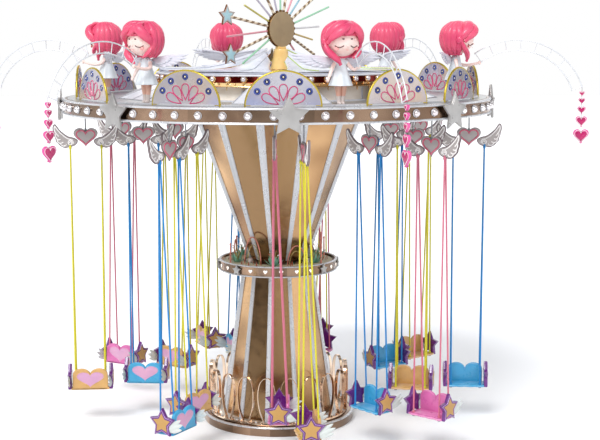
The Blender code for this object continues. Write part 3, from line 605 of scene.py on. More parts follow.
class Shape:
    """Collects meshes with their finishes and joins them into one piece."""

    def __init__(self):
        self.parts = []
        self.finishes = []

    def add(self, mesh, finish, *places):
        """Add a mesh once, or once for each place given."""
        if finish not in self.finishes:
            self.finishes.append(finish)
        for place in places or (Matrix.Identity(4),):
            self.parts.append((mesh, place, self.finishes.index(finish)))
        return self

    def ring(self, mesh, finish, *ring):
        """Add a mesh repeated round the ride's axis."""
        return self.add(ringed(mesh, finish, *ring), finish)

    def wire(self, path, radius, finish, *form, places=()):
        """Add round wire along a path, once or once for each place given."""
        return self.add(wire(path, radius, finish, *form), finish, *places)

    def mesh(self, sharp=38):
        """The joined mesh, shaded smooth with its hard edges kept."""
        bm = bmesh.new()
        for mesh, place, index in self.parts:
            copy = mesh.copy()
            copy.transform(place)
            if place.determinant() < 0:
                copy.flip_normals()
            before = len(bm.faces)
            bm.from_mesh(copy)
            bm.faces.ensure_lookup_table()
            for face in bm.faces[before:]:
                face.material_index = index
            bpy.data.meshes.remove(copy)
        made = bpy.data.meshes.new("joined")
        bm.to_mesh(made)
        bm.free()
        for finish in self.finishes:
            made.materials.append(coat(finish))
        made.shade_smooth()
        made.set_sharp_from_angle(angle=math.radians(sharp))
        return made

    def piece(self, name, body, slot=None, replaces=(), sharp=38):
        """Make the joined mesh a piece of the ride that moves with a body."""
        return add_piece(self.mesh(sharp), name, body, replaces)


def add_piece(mesh, name, body, replaces=()):
    """Put a finished mesh in the scene as a piece of the ride."""
    mesh.name = name
    item = bpy.data.objects.new(name, mesh)
    bpy.context.scene.collection.objects.link(item)
    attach(item, body)
    if replaces:
        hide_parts(*replaces)
    return item


# Node trees for what repeats


def ring_tree():
    """A node tree that sets copies of a piece round the ride's axis."""
    found = bpy.data.node_groups.get("Round the ride")
    if found:
        return found
    tree = bpy.data.node_groups.new("Round the ride", "GeometryNodeTree")
    for label, kind in (("Piece", "NodeSocketObject"), ("Count", "NodeSocketInt"),
                        ("Radius", "NodeSocketFloat"), ("Height", "NodeSocketFloat"),
                        ("First bearing", "NodeSocketFloat"), ("Finish", "NodeSocketMaterial")):
        tree.interface.new_socket(name=label, in_out="INPUT", socket_type=kind)
    tree.interface.new_socket(name="Geometry", in_out="OUTPUT",
                              socket_type="NodeSocketGeometry")

    def math_node(operation, first, second=None):
        made = tree.nodes.new("ShaderNodeMath")
        made.operation = operation
        for key, value in enumerate((first, second)):
            if isinstance(value, bpy.types.NodeSocket):
                tree.links.new(value, made.inputs[key])
            elif value is not None:
                made.inputs[key].default_value = value
        return made.outputs[0]

    given = tree.nodes.new("NodeGroupInput").outputs
    index = tree.nodes.new("GeometryNodeInputIndex").outputs[0]
    step = math_node("DIVIDE", 2 * math.pi, given["Count"])
    angle = math_node("ADD", math_node("MULTIPLY", index, step), given["First bearing"])
    across = math_node("MULTIPLY", math_node("SINE", angle), given["Radius"])
    ahead = math_node("MULTIPLY", math_node("COSINE", angle), given["Radius"])
    spot = tree.nodes.new("ShaderNodeCombineXYZ")
    turn = tree.nodes.new("ShaderNodeCombineXYZ")
    points = tree.nodes.new("GeometryNodePoints")
    thing = tree.nodes.new("GeometryNodeObjectInfo")
    euler = tree.nodes.new("FunctionNodeEulerToRotation")
    copies = tree.nodes.new("GeometryNodeInstanceOnPoints")
    solid = tree.nodes.new("GeometryNodeRealizeInstances")
    coated = tree.nodes.new("GeometryNodeSetMaterial")
    result = tree.nodes.new("NodeGroupOutput")
    for source, target in (
            (across, spot.inputs[0]), (math_node("MULTIPLY", ahead, -1.0), spot.inputs[1]),
            (given["Height"], spot.inputs[2]), (angle, turn.inputs[2]),
            (given["Count"], points.inputs["Count"]),
            (spot.outputs[0], points.inputs["Position"]),
            (given["Piece"], thing.inputs["Object"]), (turn.outputs[0], euler.inputs[0]),
            (points.outputs[0], copies.inputs["Points"]),
            (thing.outputs["Geometry"], copies.inputs["Instance"]),
            (euler.outputs[0], copies.inputs["Rotation"]),
            (copies.outputs[0], solid.inputs[0]), (solid.outputs[0], coated.inputs["Geometry"]),
            (given["Finish"], coated.inputs["Material"]), (coated.outputs[0], result.inputs[0])):
        tree.links.new(source, target)
    return tree


def wire_tree():
    """A node tree that turns a path into round wire."""
    found = bpy.data.node_groups.get("Wire along a path")
    if found:
        return found
    tree = bpy.data.node_groups.new("Wire along a path", "GeometryNodeTree")
    for label, kind in (("Geometry", "NodeSocketGeometry"), ("Radius", "NodeSocketFloat"),
                        ("Sides", "NodeSocketInt"), ("Finish", "NodeSocketMaterial")):
        tree.interface.new_socket(name=label, in_out="INPUT", socket_type=kind)
    tree.interface.new_socket(name="Geometry", in_out="OUTPUT",
                              socket_type="NodeSocketGeometry")
    given = tree.nodes.new("NodeGroupInput").outputs
    section = tree.nodes.new("GeometryNodeCurvePrimitiveCircle")
    tube = tree.nodes.new("GeometryNodeCurveToMesh")
    tube.inputs["Fill Caps"].default_value = True
    solid = tree.nodes.new("GeometryNodeRealizeInstances")
    coated = tree.nodes.new("GeometryNodeSetMaterial")
    result = tree.nodes.new("NodeGroupOutput")
    for source, target in (
            (given["Sides"], section.inputs["Resolution"]),
            (given["Radius"], section.inputs["Radius"]),
            (given["Geometry"], tube.inputs["Curve"]),
            (section.outputs[0], tube.inputs["Profile Curve"]),
            (tube.outputs[0], solid.inputs[0]), (solid.outputs[0], coated.inputs["Geometry"]),
            (given["Finish"], coated.inputs["Material"]), (coated.outputs[0], result.inputs[0])):
        tree.links.new(source, target)
    return tree


def run_tree(item, tree, values):
    """Run a node tree on a working object and keep the plain mesh."""
    step = item.modifiers.new("Nodes", "NODES")
    step.node_group = tree
    for socket in tree.interface.items_tree:
        if socket.in_out == "INPUT" and socket.name in values:
            step[socket.identifier] = values[socket.name]
    return evaluated_mesh(item)


def working_object(data):
    """A throwaway object that carries a mesh or curve through a node tree."""
    item = bpy.data.objects.new("working", data)
    bpy.context.scene.collection.objects.link(item)
    return item


def ringed(mesh, finish, count, radius=0.0, height=0.0, first=0.0):
    """A mesh repeated round the ride's axis."""
    source = working_object(mesh)
    carrier = working_object(bpy.data.meshes.new("carrier"))
    made = run_tree(carrier, ring_tree(), {
        "Piece": source, "Count": count, "Radius": radius, "Height": height,
        "First bearing": first, "Finish": coat(finish)})
    bpy.data.objects.remove(source, do_unlink=True)
    return made


def wire(path, radius, finish, sides=8, closed=False):
    """Round wire along a path."""
    curve = bpy.data.curves.new("path", "CURVE")
    curve.dimensions = "3D"
    spline = curve.splines.new("POLY")
    spline.points.add(len(path) - 1)
    for point, co in zip(spline.points, path):
        point.co = (*co, 1.0)
    spline.use_cyclic_u = closed
    mesh = run_tree(working_object(curve), wire_tree(),
                    {"Radius": radius, "Sides": sides, "Finish": coat(finish)})
    bm = bmesh.new()
    bm.from_mesh(mesh)
    return as_mesh(bm)


def circle_path(radius, height, steps=96):
    """Points round a level circle."""
    return [(radius * math.cos(2 * math.pi * k / steps), radius * math.sin(2 * math.pi * k / steps),
             height) for k in range(steps)]


def dress_node(name, finish):
    """Give a solid that is already the right shape its finish."""
    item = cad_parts[name]
    item.data.materials.clear()
    item.data.materials.append(coat(finish))


# Base


class SWINGRIDE_OT_plinth(Operator):
    """Plinth with its rims and the ring of tall loops"""

    bl_idname = "swing_ride.plinth"
    bl_label = "Plinth and loops"

    def execute(self, context):
        body = Shape()
        body.add(lathe([(0, 0.152), (1.262, 0.152), (1.275, 0.145), (1.297, 0.128), (1.300, 0.020),
                        (1.290, 0.0), (0, 0.0)], 96), "rose_gold_band")
        height = 0.144
        body.add(lathe([(1.268, height + 0.013), (1.296, height + 0.013), (1.310, height + 0.009),
                        (1.315, height), (1.310, height - 0.009), (1.296, height - 0.014),
                        (1.268, height - 0.014)], 96, True), "silver_trim")
        body.add(lathe([(0, 0.160), (1.15, 0.160), (1.165, 0.152), (1.165, 0.140), (0, 0.140)], 96),
                 "deck_mirror")
        body.piece("plinth", "base", "rose_gold", ["base_platform"])
        half = smooth_path([(0.0, 0.800), (0.050, 0.788), (0.104, 0.728), (0.138, 0.620),
                            (0.148, 0.490), (0.141, 0.350), (0.114, 0.215), (0.076, 0.110),
                            (0.050, 0.046), (0.060, 0.014), (0.090, 0.016), (0.104, 0.036),
                            (0.092, 0.052), (0.078, 0.044)], 4)
        side = [(p.x, 0, p.y) for p in half]
        path = [(-x, y, z) for x, y, z in reversed(side[1:])] + side
        loop = Shape().add(flat_strip(path, 0.011, 0.054), "rose_gold_strip").mesh()
        first = math.radians(9.5)
        loops = Shape()
        loops.ring(loop, "rose_gold_strip", 20, FENCE_RING, 0.166, first)
        rail = [(1.150, 0.168), (1.156, 0.194), (1.168, 0.198), (1.192, 0.198), (1.204, 0.194),
                (1.210, 0.168), (1.206, 0.161), (1.154, 0.161)]
        loops.add(lathe(rail, 96, True), "rose_gold_strip")
        knob = ball(0.020, (1, 1, 0.8), 12, 8)
        loops.ring(knob, "silver_trim", 20, FENCE_RING, 0.205, first + math.radians(9))
        loops.piece("fence_loops", "base", "rose_gold", ["loop_fence"])
        return {"FINISHED"}


def flat_strip(path, thickness, depth, chamfer=0.003):
    """A flat strip bent along a path in the XZ plane, standing across it in Y."""
    points = [Vector(p) for p in path]
    half, side = thickness / 2, depth / 2
    section = [(-half, -side + chamfer), (-half, side - chamfer), (-half + chamfer, side),
               (half - chamfer, side), (half, side - chamfer), (half, -side + chamfer),
               (half - chamfer, -side), (-half + chamfer, -side)]
    bm = bmesh.new()
    rings = []
    for n, point in enumerate(points):
        along = (points[min(n + 1, len(points) - 1)] - points[max(n - 1, 0)]).normalized()
        out = Vector((along.z, 0, -along.x))
        rings.append([bm.verts.new(point + out * u + Vector((0, v, 0))) for u, v in section])
    for first, second in zip(rings, rings[1:]):
        for k in range(8):
            after = (k + 1) % 8
            bm.faces.new((first[k], first[after], second[after], second[k]))
    bm.faces.new(rings[0])
    bm.faces.new(rings[-1])
    return as_mesh(bm)


def fluted_rib(foot, head, widths, proud):
    """A fluted rib folded over a corner of the tower, from (radius, height) foot to head."""
    flutes = [(-0.5, -0.45), (-0.5, 0.60), (-0.44, 0.80), (-0.36, 0.84), (-0.29, 0.74),
              (-0.20, 0.80), (-0.10, 0.94), (0.0, 1.0), (0.10, 0.94), (0.20, 0.80), (0.29, 0.74),
              (0.36, 0.84), (0.44, 0.80), (0.5, 0.60), (0.5, -0.45)]
    lean = math.tan(math.radians(15))
    bm = bmesh.new()
    rings = []
    for (radius, height), width in ((foot, widths[0]), (head, widths[1])):
        rings.append([bm.verts.new((u * width, -(radius - abs(u) * width * lean + h * proud),
                                    height)) for u, h in flutes])
    count = len(flutes)
    for k in range(count):
        after = (k + 1) % count
        bm.faces.new((rings[0][k], rings[0][after], rings[1][after], rings[1][k]))
    bm.faces.new(rings[0])
    bm.faces.new(rings[1])
    return as_mesh(bm)


class SWINGRIDE_OT_tower(Operator):
    """Mirror panels and fluted ribs of the tower and the crown's cone"""

    bl_idname = "swing_ride.tower"
    bl_label = "Tower and cone"

    def execute(self, context):
        dress_node("lower_tower", "bronze_mirror")
        dress_node("upper_cone", "bronze_mirror")
        rib = fluted_rib((0.955, 0.162), (0.600, 2.633), (0.078, 0.066), 0.034)
        Shape().add(ringed(rib, "rib_silver", 12, first=DOLL_BEARING), "rib_silver").piece(
            "tower_ribs", "base", "silver", ["lower_tower_ribs"])
        rib = fluted_rib((0.495, 2.842), (1.510, 5.538), (0.056, 0.150), 0.036)
        Shape().add(ringed(rib, "rib_silver", 12, first=DOLL_BEARING), "rib_silver").piece(
            "cone_ribs", "crown", "silver", ["upper_cone_ribs"])
        return {"FINISHED"}


class SWINGRIDE_OT_collar(Operator):
    """Collar tray with its rims, heart lamps and small stars"""

    bl_idname = "swing_ride.collar"
    bl_label = "Collar"

    def execute(self, context):
        tray = Shape()
        tray.add(lathe([(0, 2.832), (0.435, 2.832), (0.442, 2.824), (0.442, 2.772), (0.978, 2.772),
                        (0.978, 2.812), (0.990, 2.818), (1.004, 2.818), (1.006, 2.806),
                        (1.006, 2.650), (1.000, 2.640), (0, 2.636)], 96), "rose_gold_band")
        for height in (2.812, 2.646):
            tray.add(lathe([(0.984, height + 0.008), (0.994, height + 0.013),
                            (1.010, height + 0.012), (1.020, height + 0.004),
                            (1.020, height - 0.004), (1.010, height - 0.012),
                            (0.994, height - 0.011), (0.984, height - 0.008)], 96, True),
                     "silver_trim")
        heart = facing_out(slab(heart_outline(0.060, 0.056, 20), 0.018, 0.006))
        cup = facing_out(slab(heart_outline(0.078, 0.074, 20), 0.010, 0.003))
        first = math.radians(4)
        tray.ring(heart, "warm_lamp", 24, 1.012, LAMP_HEIGHT, first)
        tray.ring(cup, "silver_trim", 24, 1.008, LAMP_HEIGHT, first)
        star = facing_out(slab(star_outline(0.094), 0.040, 0.006))
        for k in (1, 2, 3, 5, 6, 7):
            tray.add(star, "star_silver", at_bearing(math.radians(4 + 45 * k), 1.030, 2.7285))
        tray.piece("collar", "base", "rose_gold", ["collar_tray"])
        return {"FINISHED"}


class SWINGRIDE_OT_garden(Operator):
    """Hoops, posts, leaf rosettes and coral sprigs standing in the collar"""

    bl_idname = "swing_ride.garden"
    bl_label = "Collar garden"

    def execute(self, context):
        floor = 2.786
        beds = Shape()
        beds.add(lathe([(0.935, 2.777), (0.938, 2.786), (0.90, 2.796), (0.75, 2.802), (0.64, 2.796),
                        (0.602, 2.786), (0.605, 2.777)], 72, True), "moss_bed")
        for k in range(6):
            bearing = math.radians(26 + 60 * k)
            tall = 0.478 if k % 2 else 0.338
            arch = [(0.17 * math.cos(math.pi * n / 20), 0, tall * math.sin(math.pi * n / 20))
                    for n in range(21)]
            place = at_bearing(bearing, 0.74, floor)
            beds.wire(arch, 0.011, "copper_wire", 8, places=[place])
            inner = [(x * 0.72, 0.02, z * 0.72) for x, _, z in arch]
            beds.wire(inner, 0.006, "stem_gold", 6, places=[place])
            post = at_bearing(bearing + math.radians(30), 0.89, floor)
            beds.add(lathe([(0, 0.345), (0.010, 0.342), (0.017, 0.325), (0.012, 0.30),
                            (0.014, 0.02), (0.024, 0.0), (0, 0.0)], 12), "copper_wire", post)
            heart = at_bearing(bearing + math.radians(30), 0.76, floor)
            tilt_leaf = leaf(0.20, 0.056, 0.012, 0.35)
            for n in range(11):
                lean = Matrix.Rotation(math.radians(-18 - 26 * (n % 2)), 4, "Y")
                beds.add(tilt_leaf, "leaf_green", heart
                         @ Matrix.Rotation(2 * math.pi * n / 11, 4, "Z") @ lean)
            for n in range(7):
                angle = 2 * math.pi * n / 7 + 0.3
                reach = Vector((math.cos(angle) * 0.085, math.sin(angle) * 0.085,
                                0.20 + 0.05 * (n % 3)))
                stem = smooth_path([(0, 0, 0), (reach.x * 0.35, reach.y * 0.35, reach.z * 0.6),
                                    tuple(reach)], 4)
                beds.wire(stem, 0.0035, "stem_gold", 5, places=[heart])
                beds.add(ball(0.012, (1, 1, 1), 8, 6), "coral" if n % 2 else "pearl",
                         heart @ Matrix.Translation(reach))
            for n in range(9):
                angle = bearing + math.radians(-14 + 28 * n / 8)
                sprig = at_bearing(angle, 0.70 + 0.16 * ((n * 5) % 3) / 2, floor)
                beds.add(leaf(0.055 + 0.02 * (n % 3), 0.022, 0.007, 0.4), "coral" if n % 3 else
                         "leaf_green", sprig @ Matrix.Rotation(n * 2.1, 4, "Z")
                         @ Matrix.Rotation(math.radians(-62), 4, "Y"))
        beds.piece("collar_planting", "base", "leaf", ["collar_garden"], 50)
        return {"FINISHED"}


# Crown


class SWINGRIDE_OT_crown_band(Operator):
    """Band round the crown with its rims, pearls and eight stars, and the mirror deck"""

    bl_idname = "swing_ride.crown_band"
    bl_label = "Crown band"

    def execute(self, context):
        sizes = context.scene.swing_ride.crown
        dress_node("crown_deck", "deck_mirror")
        band = Shape()
        band.add(lathe([(3.538, 5.598), (3.592, 5.598), (3.592, 5.356), (3.538, 5.356)], 144, True),
                 "rose_gold_band")
        for height in (5.582, 5.368):
            band.add(lathe([(3.570, height + 0.016), (3.590, height + 0.018),
                            (3.608, height + 0.013), (3.615, height),
                            (3.608, height - 0.013), (3.590, height - 0.018),
                            (3.570, height - 0.016)], 144, True), "rib_silver")
        band.piece("crown_band_rim", "crown", "rose_gold", ["crown_band"])
        radius = sizes.pearl_diameter / 2
        first = math.radians(0.3)
        pearls = Shape()
        pearls.ring(ball(radius, (1, 1, 1), 18, 12), "pearl", sizes.pearl_count, 3.608, BAND_MIDDLE,
                    first)
        cup = facing_out(lathe([(0, 0.0), (radius * 1.08, 0.0), (radius * 1.16, 0.008),
                                (radius * 1.08, 0.018), (radius * 0.8, 0.020), (0, 0.020)], 18))
        pearls.ring(cup, "silver_trim", sizes.pearl_count, PEARL_RING, BAND_MIDDLE, first)
        pearls.piece("band_pearls", "crown", "rose_gold")
        star = facing_out(slab(star_outline(0.310), 0.045, 0.008))
        face = facing_out(slab(star_outline(0.268), 0.012, 0.005))
        stars = Shape()
        first = math.radians(3.7)
        stars.ring(star, "star_silver", 8, 3.668, STAR_MIDDLE, first)
        stars.ring(face, "star_silver", 8, 3.690, STAR_MIDDLE, first)
        boss = facing_out(lathe([(0, 0.0), (0.075, 0.0), (0.065, 0.070), (0, 0.070)], 20))
        stars.ring(boss, "steel_rod", 8, PEARL_RING, STAR_MIDDLE, first)
        stars.piece("band_stars", "crown", "silver")
        return {"FINISHED"}


def arch_path(width, height, steps=40, z=0.0):
    """Points over a half ellipse, from right to left."""
    return [(width / 2 * math.cos(math.pi * k / steps), height * math.sin(math.pi * k / steps), z)
            for k in range(steps + 1)]


def drop_path(length, width, steps=28):
    """A closed teardrop with its point at the origin and its round end along +Y."""
    points = []
    for k in range(steps):
        t = 2 * math.pi * k / steps
        y = length * (1 - math.cos(t)) / 2
        x = width * math.sin(t) * math.sin(t / 2) ** 1.3 * 0.62
        points.append((x, y))
    return points


GEM_SPOTS = ((-0.382, 0.225), (-0.239, 0.364), (0.0, 0.433), (0.239, 0.364), (0.382, 0.225))
FAN_DROPS = (((0.0, 0.09), (0.0, 0.33)), ((0.05, 0.08), (0.185, 0.29)),
             ((0.07, 0.035), (0.31, 0.17)), ((-0.05, 0.08), (-0.185, 0.29)),
             ((-0.07, 0.035), (-0.31, 0.17)))


class SWINGRIDE_OT_panels(Operator):
    """Twelve arched panels with gold trim, ringed gems and a pink fan"""

    bl_idname = "swing_ride.panels"
    bl_label = "Arched panels"

    def execute(self, context):
        width, height = 1.150, 0.538
        stand = Matrix.Translation((0, 0, 5.601)) @ FACING_OUT
        face = [(x, y) for x, y, _ in arch_path(width - 0.03, height - 0.015)]
        finished = {}

        def keep(finish, mesh):
            mesh = mesh.copy()
            mesh.transform(stand)
            finished.setdefault(finish, Shape()).add(mesh, finish)

        keep("panel_face", slab(face, 0.034, 0.006))
        trim = arch_path(width - 0.036, height - 0.018)
        keep("gold_trim", wire(trim, 0.019, "gold_trim", 10))
        keep("gold_trim", wire([(-width / 2 + 0.018, 0.018, 0), (width / 2 - 0.018, 0.018, 0)],
                               0.018, "gold_trim", 10))
        for side in (-1, 1):
            for across, up in GEM_SPOTS:
                spot = Matrix.Translation((across, up, side * 0.017))
                ring = wire(circle_path(0.038, 0, 18), 0.014, "navy_enamel", 6, True)
                # Each gem: navy ring, dark inner, and a white bead that is a painted highlight for
                # the gem's glint.
                for mesh, finish in ((ring, "navy_enamel"),
                                     (ball(0.031, (1, 1, 0.3), 12, 6), "gem_dark"),
                                     (ball(0.015, (1, 1.2, 1), 10, 6), "gem_painted_glint")):
                    mesh.transform(spot)
                    keep(finish, mesh)
            for start, end in FAN_DROPS:
                along = Vector(end) - Vector(start)
                turn = math.atan2(-along.x, along.y)
                drop = drop_path(along.length, 0.135)
                swing = (Matrix.Translation((*start, side * 0.019))
                         @ Matrix.Rotation(turn, 4, "Z"))
                line = wire([(x, y, 0) for x, y in drop], 0.0078, "fan_pink", 6, True)
                line.transform(swing)
                keep("fan_pink", line)
        pieces = {"face": ("panel_face",), "trim": ("gold_trim",),
                  "gems": ("navy_enamel", "gem_dark", "gem_painted_glint"), "fans": ("fan_pink",)}
        places = [at_bearing(math.radians(bearing), PANEL_RING) for bearing in PANEL_BEARINGS]
        for label, group in pieces.items():
            made = Shape()
            for finish in group:
                made.add(finished[finish].mesh(), finish, *places)
            if label == "face":
                curb = [(3.288, 5.602), (3.288, 5.622), (3.296, 5.630), (3.384, 5.630),
                        (3.392, 5.622), (3.392, 5.602)]
                made.add(lathe(curb, 120, True), "silver_trim")
            made.piece("panel_" + label, "crown", "panel_silver",
                       ["arch_panels"] if label == "face" else ())
        return {"FINISHED"}


class SWINGRIDE_OT_tier(Operator):
    """Upper tier: drum, jewelled ring, beads and the white aprons"""

    bl_idname = "swing_ride.tier"
    bl_label = "Upper tier"

    def execute(self, context):
        sizes = context.scene.swing_ride.crown
        tier = Shape()
        tier.add(lathe([(0, 6.028), (2.030, 6.028), (2.048, 6.020), (2.052, 6.008), (2.044, 5.996),
                        (2.030, 5.992)], 120), "white_paint")
        tier.add(lathe([(1.98, 6.000), (2.034, 5.996), (2.030, 5.900), (1.98, 5.896)], 120, True),
                 "dark_red_mirror")
        tier.add(lathe([(1.98, 5.904), (2.034, 5.902), (2.050, 5.892), (2.062, 5.868),
                        (2.090, 5.848), (2.094, 5.836), (2.080, 5.830), (1.946, 5.832)], 120, True),
                 "tier_gold")
        tier.add(lathe([(0, 5.836), (1.946, 5.836), (1.950, 5.66), (1.962, 5.640), (1.962, 5.602),
                        (0, 5.602)], 120), "cream_paint")
        count = sizes.tier_pearl_count
        tier.ring(ball(0.045, (1, 1, 1), 16, 10), "pearl", count, 2.040, 5.950, 0.02)
        cup = facing_out(lathe([(0, 0), (0.050, 0), (0.056, 0.008), (0.050, 0.016), (0, 0.016)],
                               16))
        tier.ring(cup, "tier_gold", count, 2.026, 5.950, 0.02)
        tier.ring(ball(0.016, (1, 1, 1), 10, 6), "tier_gold", count * 2, 2.070, 5.880, 0.02)
        drop = leaf(0.075, 0.040, 0.016, 0.0)
        drop.transform(Matrix.Rotation(math.radians(90), 4, "Y"))
        tier.ring(drop, "tier_gold", count, 2.072, 5.846, 0.02)
        pilaster = facing_out(slab([(-0.02, 0), (0.02, 0), (0.02, 0.215), (-0.02, 0.215)], 0.020,
                                   0.006))
        tier.ring(pilaster, "white_paint", 24, 1.954, 5.610, 0.0)
        tier.piece("tier", "crown", "cream", ["tier_drum"])
        dress_node("tier_apron", "white_paint")
        edge = Shape()
        for k in range(6):
            place = at_bearing(math.radians(2.6 + 60 * k))
            outline = [(-0.76, -2.605, 5.606), (0.76, -2.605, 5.606), (0.50, -2.064, 5.826),
                       (-0.50, -2.064, 5.826)]
            edge.wire(outline, 0.009, "silver_trim", 6, True, places=[place])
            for part in (0.33, 0.67):
                low = [a + (b - a) * part for a, b in zip(outline[0], outline[1])]
                high = [a + (b - a) * part for a, b in zip(outline[3], outline[2])]
                edge.wire([low, high], 0.006, "silver_trim", 6, places=[place])
        edge.piece("apron_edges", "crown", "silver")
        return {"FINISHED"}


def petal(profile, thick=0.012):
    """A drooping roof sail at the front, and the lines of its two edges.

    The profile gives radius, ridge height, half angle in degrees and droop at the edges.
    """
    bm = bmesh.new()
    across = 8
    top, bottom = [], []
    rims = ([], [])
    for radius, height, half, droop in profile:
        upper, lower = [], []
        for k in range(-across, across + 1):
            s = k / across
            angle = math.radians(half) * s
            level = height - droop * abs(s) ** 1.5
            co = (radius * math.sin(angle), -radius * math.cos(angle), level)
            upper.append(bm.verts.new((co[0], co[1], co[2] + thick)))
            lower.append(bm.verts.new(co))
            if abs(k) == across:
                rims[0 if k < 0 else 1].append((co[0], co[1], co[2] + thick / 2))
        top.append(upper)
        bottom.append(lower)
    for sheet in (top, bottom):
        for first, second in zip(sheet, sheet[1:]):
            for k in range(across * 2):
                bm.faces.new((first[k], first[k + 1], second[k + 1], second[k]))
    for n in range(len(top) - 1):
        for k in (0, across * 2):
            bm.faces.new((top[n][k], top[n + 1][k], bottom[n + 1][k], bottom[n][k]))
    for n in (0, len(top) - 1):
        for k in range(across * 2):
            bm.faces.new((top[n][k], top[n][k + 1], bottom[n][k + 1], bottom[n][k]))
    return as_mesh(bm), rims


class SWINGRIDE_OT_roof(Operator):
    """Roof of white petals with green and orange edges, and the mast"""

    bl_idname = "swing_ride.roof"
    bl_label = "Roof and mast"

    def execute(self, context):
        profile = [(2.000, 6.066, 27, 0.012), (1.60, 6.068, 26, 0.014), (1.21, 6.084, 24, 0.028),
                   (0.95, 6.140, 21, 0.065), (0.70, 6.215, 18, 0.105), (0.48, 6.285, 15, 0.125),
                   (0.30, 6.340, 13, 0.130)]
        tall = profile + [(0.17, 6.392, 13, 0.090)]
        roof = Shape()
        for k in range(6):
            place = at_bearing(math.radians(32 + 60 * k))
            shape = profile[:-1] + [(0.42, 6.303, 14, 0.126)] if k in (0, 5) else tall
            for narrow, lift, tones in ((1.0, 0.0, ("roof_green", "roof_orange")),
                                        (0.45, 0.014, ("roof_green", None))):
                mesh, rims = petal([(r, z + lift, half * narrow, droop * narrow ** 1.5)
                                    for r, z, half, droop in shape])
                roof.add(mesh, "roof_white", place)
                for rim, finish in zip(rims, tones):
                    if finish:
                        roof.wire(rim, 0.009, finish, 6, places=[place])
        roof.add(lathe([(1.15, 6.034), (2.0, 6.034), (2.0, 6.048), (1.15, 6.052)], 96, True),
                 "roof_white")
        roof.add(lathe([(0, 6.033), (1.16, 6.033), (1.16, 6.048), (0.30, 6.054), (0, 6.054)], 72),
                 "tier_gold")
        roof.piece("roof_petals", "crown", "white", ["tent_roof"])
        mast = Shape()
        shift = Matrix.Translation((MAST_SHIFT, 0, 0))
        mast.add(lathe([(0, 6.400), (0.110, 6.398), (0.116, 6.386), (0.124, 6.350), (0.132, 6.30),
                        (0.148, 6.20), (0.168, 6.11), (0.186, 6.045), (0.188, 6.032), (0, 6.032)],
                       40), "butter_paint", shift)
        mast.add(lathe([(0.176, 6.046), (0.186, 6.060), (0.200, 6.046), (0.186, 6.033)], 40, True),
                 "tier_gold", shift)
        mast.piece("mast_cone", "crown", "butter", ["mast"])
        return {"FINISHED"}


def striped_rod(start, end, radius, turns=9):
    """A rod with two colours wound round it, as a pair of meshes."""
    sides, rings = 12, turns * 8
    pair = []
    for colour in (0, 1):
        bm = bmesh.new()
        grid = []
        axis = Vector(end) - Vector(start)
        side = Vector((0, 1, 0))
        over = axis.normalized().cross(side)
        for n in range(rings + 1):
            centre = Vector(start) + axis * n / rings
            grid.append([bm.verts.new(centre + (side * math.cos(2 * math.pi * k / sides)
                                                + over * math.sin(2 * math.pi * k / sides))
                                      * radius) for k in range(sides)])
        for n in range(rings):
            for k in range(sides):
                if ((n + k * 8 // sides) // 4) % 2 == colour:
                    after = (k + 1) % sides
                    bm.faces.new((grid[n][k], grid[n + 1][k], grid[n + 1][after],
                                  grid[n][after]))
        if colour == 0:
            bm.faces.new(grid[0])
        else:
            bm.faces.new(grid[-1])
        bmesh.ops.delete(bm, geom=[v for v in bm.verts if not v.link_faces], context="VERTS")
        mesh = bpy.data.meshes.new("stripe")
        bm.to_mesh(mesh)
        bm.free()
        pair.append(mesh)
    return pair


class SWINGRIDE_OT_sunburst(Operator):
    """Sunburst: rimmed disc, coloured and striped rods, and stars at their ends"""

    bl_idname = "swing_ride.sunburst"
    bl_label = "Sunburst"

    def execute(self, context):
        place = Matrix.Translation((MAST_SHIFT, 0, SUN_CENTRE)) @ Matrix.Rotation(SUN_TURN, 4, "Z")
        sun = Shape()
        disc = facing_out(lathe([(0, 0.040), (0.290, 0.040), (0.296, 0.035), (0.296, -0.035),
                                 (0.290, -0.040), (0, -0.040)], 64))
        sun.add(disc, "sun_face", place)
        rim = facing_out(lathe([(0.285, 0.032), (0.298, 0.032), (0.301, 0.027), (0.301, -0.027),
                                (0.298, -0.032), (0.285, -0.032)], 64, True))
        sun.add(rim, "sun_rim", place)
        stem = facing_out(slab([(-0.100, -0.326), (0.100, -0.326), (0.090, -0.26), (-0.090, -0.26)],
                               0.076, 0.008))
        sun.add(stem, "butter_paint", place)
        layers = ((slab(star_outline(0.182), 0.034, 0.004), "star_copper"),
                  (slab(star_outline(0.170), 0.040, 0.005), "star_silver"),
                  (slab(star_outline(0.122), 0.046, 0.004), "star_blue"))
        for mesh, finish in layers:
            mesh.transform(FACING_OUT)
        for angle, length, finish, starred in RAYS:
            turn = math.radians(angle)
            along = Vector((math.cos(turn), 0, math.sin(turn)))
            start, end = along * 0.29, along * length
            if finish == "stripes":
                for mesh, tone in zip(striped_rod(start, end, 0.023, 7), ("ray_brown",
                                                                        "ray_cream")):
                    sun.add(mesh, tone, place)
            else:
                sun.wire([start, end], 0.0165, finish, 12, places=[place])
                sun.add(ball(0.0165, (1, 1, 1), 12, 8), finish, place @ Matrix.Translation(end))
            socket = wire([along * 0.295, along * 0.325], 0.026, "sun_rim", 12)
            sun.add(socket, "sun_rim", place)
            if starred:
                spot = place @ Matrix.Translation(end)
                for mesh, tone in layers:
                    sun.add(mesh, tone, spot)
        sun.piece("sunburst_fan", "crown", "old_gold", ["sunburst"])
        return {"FINISHED"}


# Dolls and arcs


def arc_point(radius, angle):
    """A point of a ladder arc in the radial plane at the front."""
    return Vector((0, -ARC_CENTRE[0] - radius * math.cos(angle),
                   ARC_CENTRE[1] + radius * math.sin(angle)))


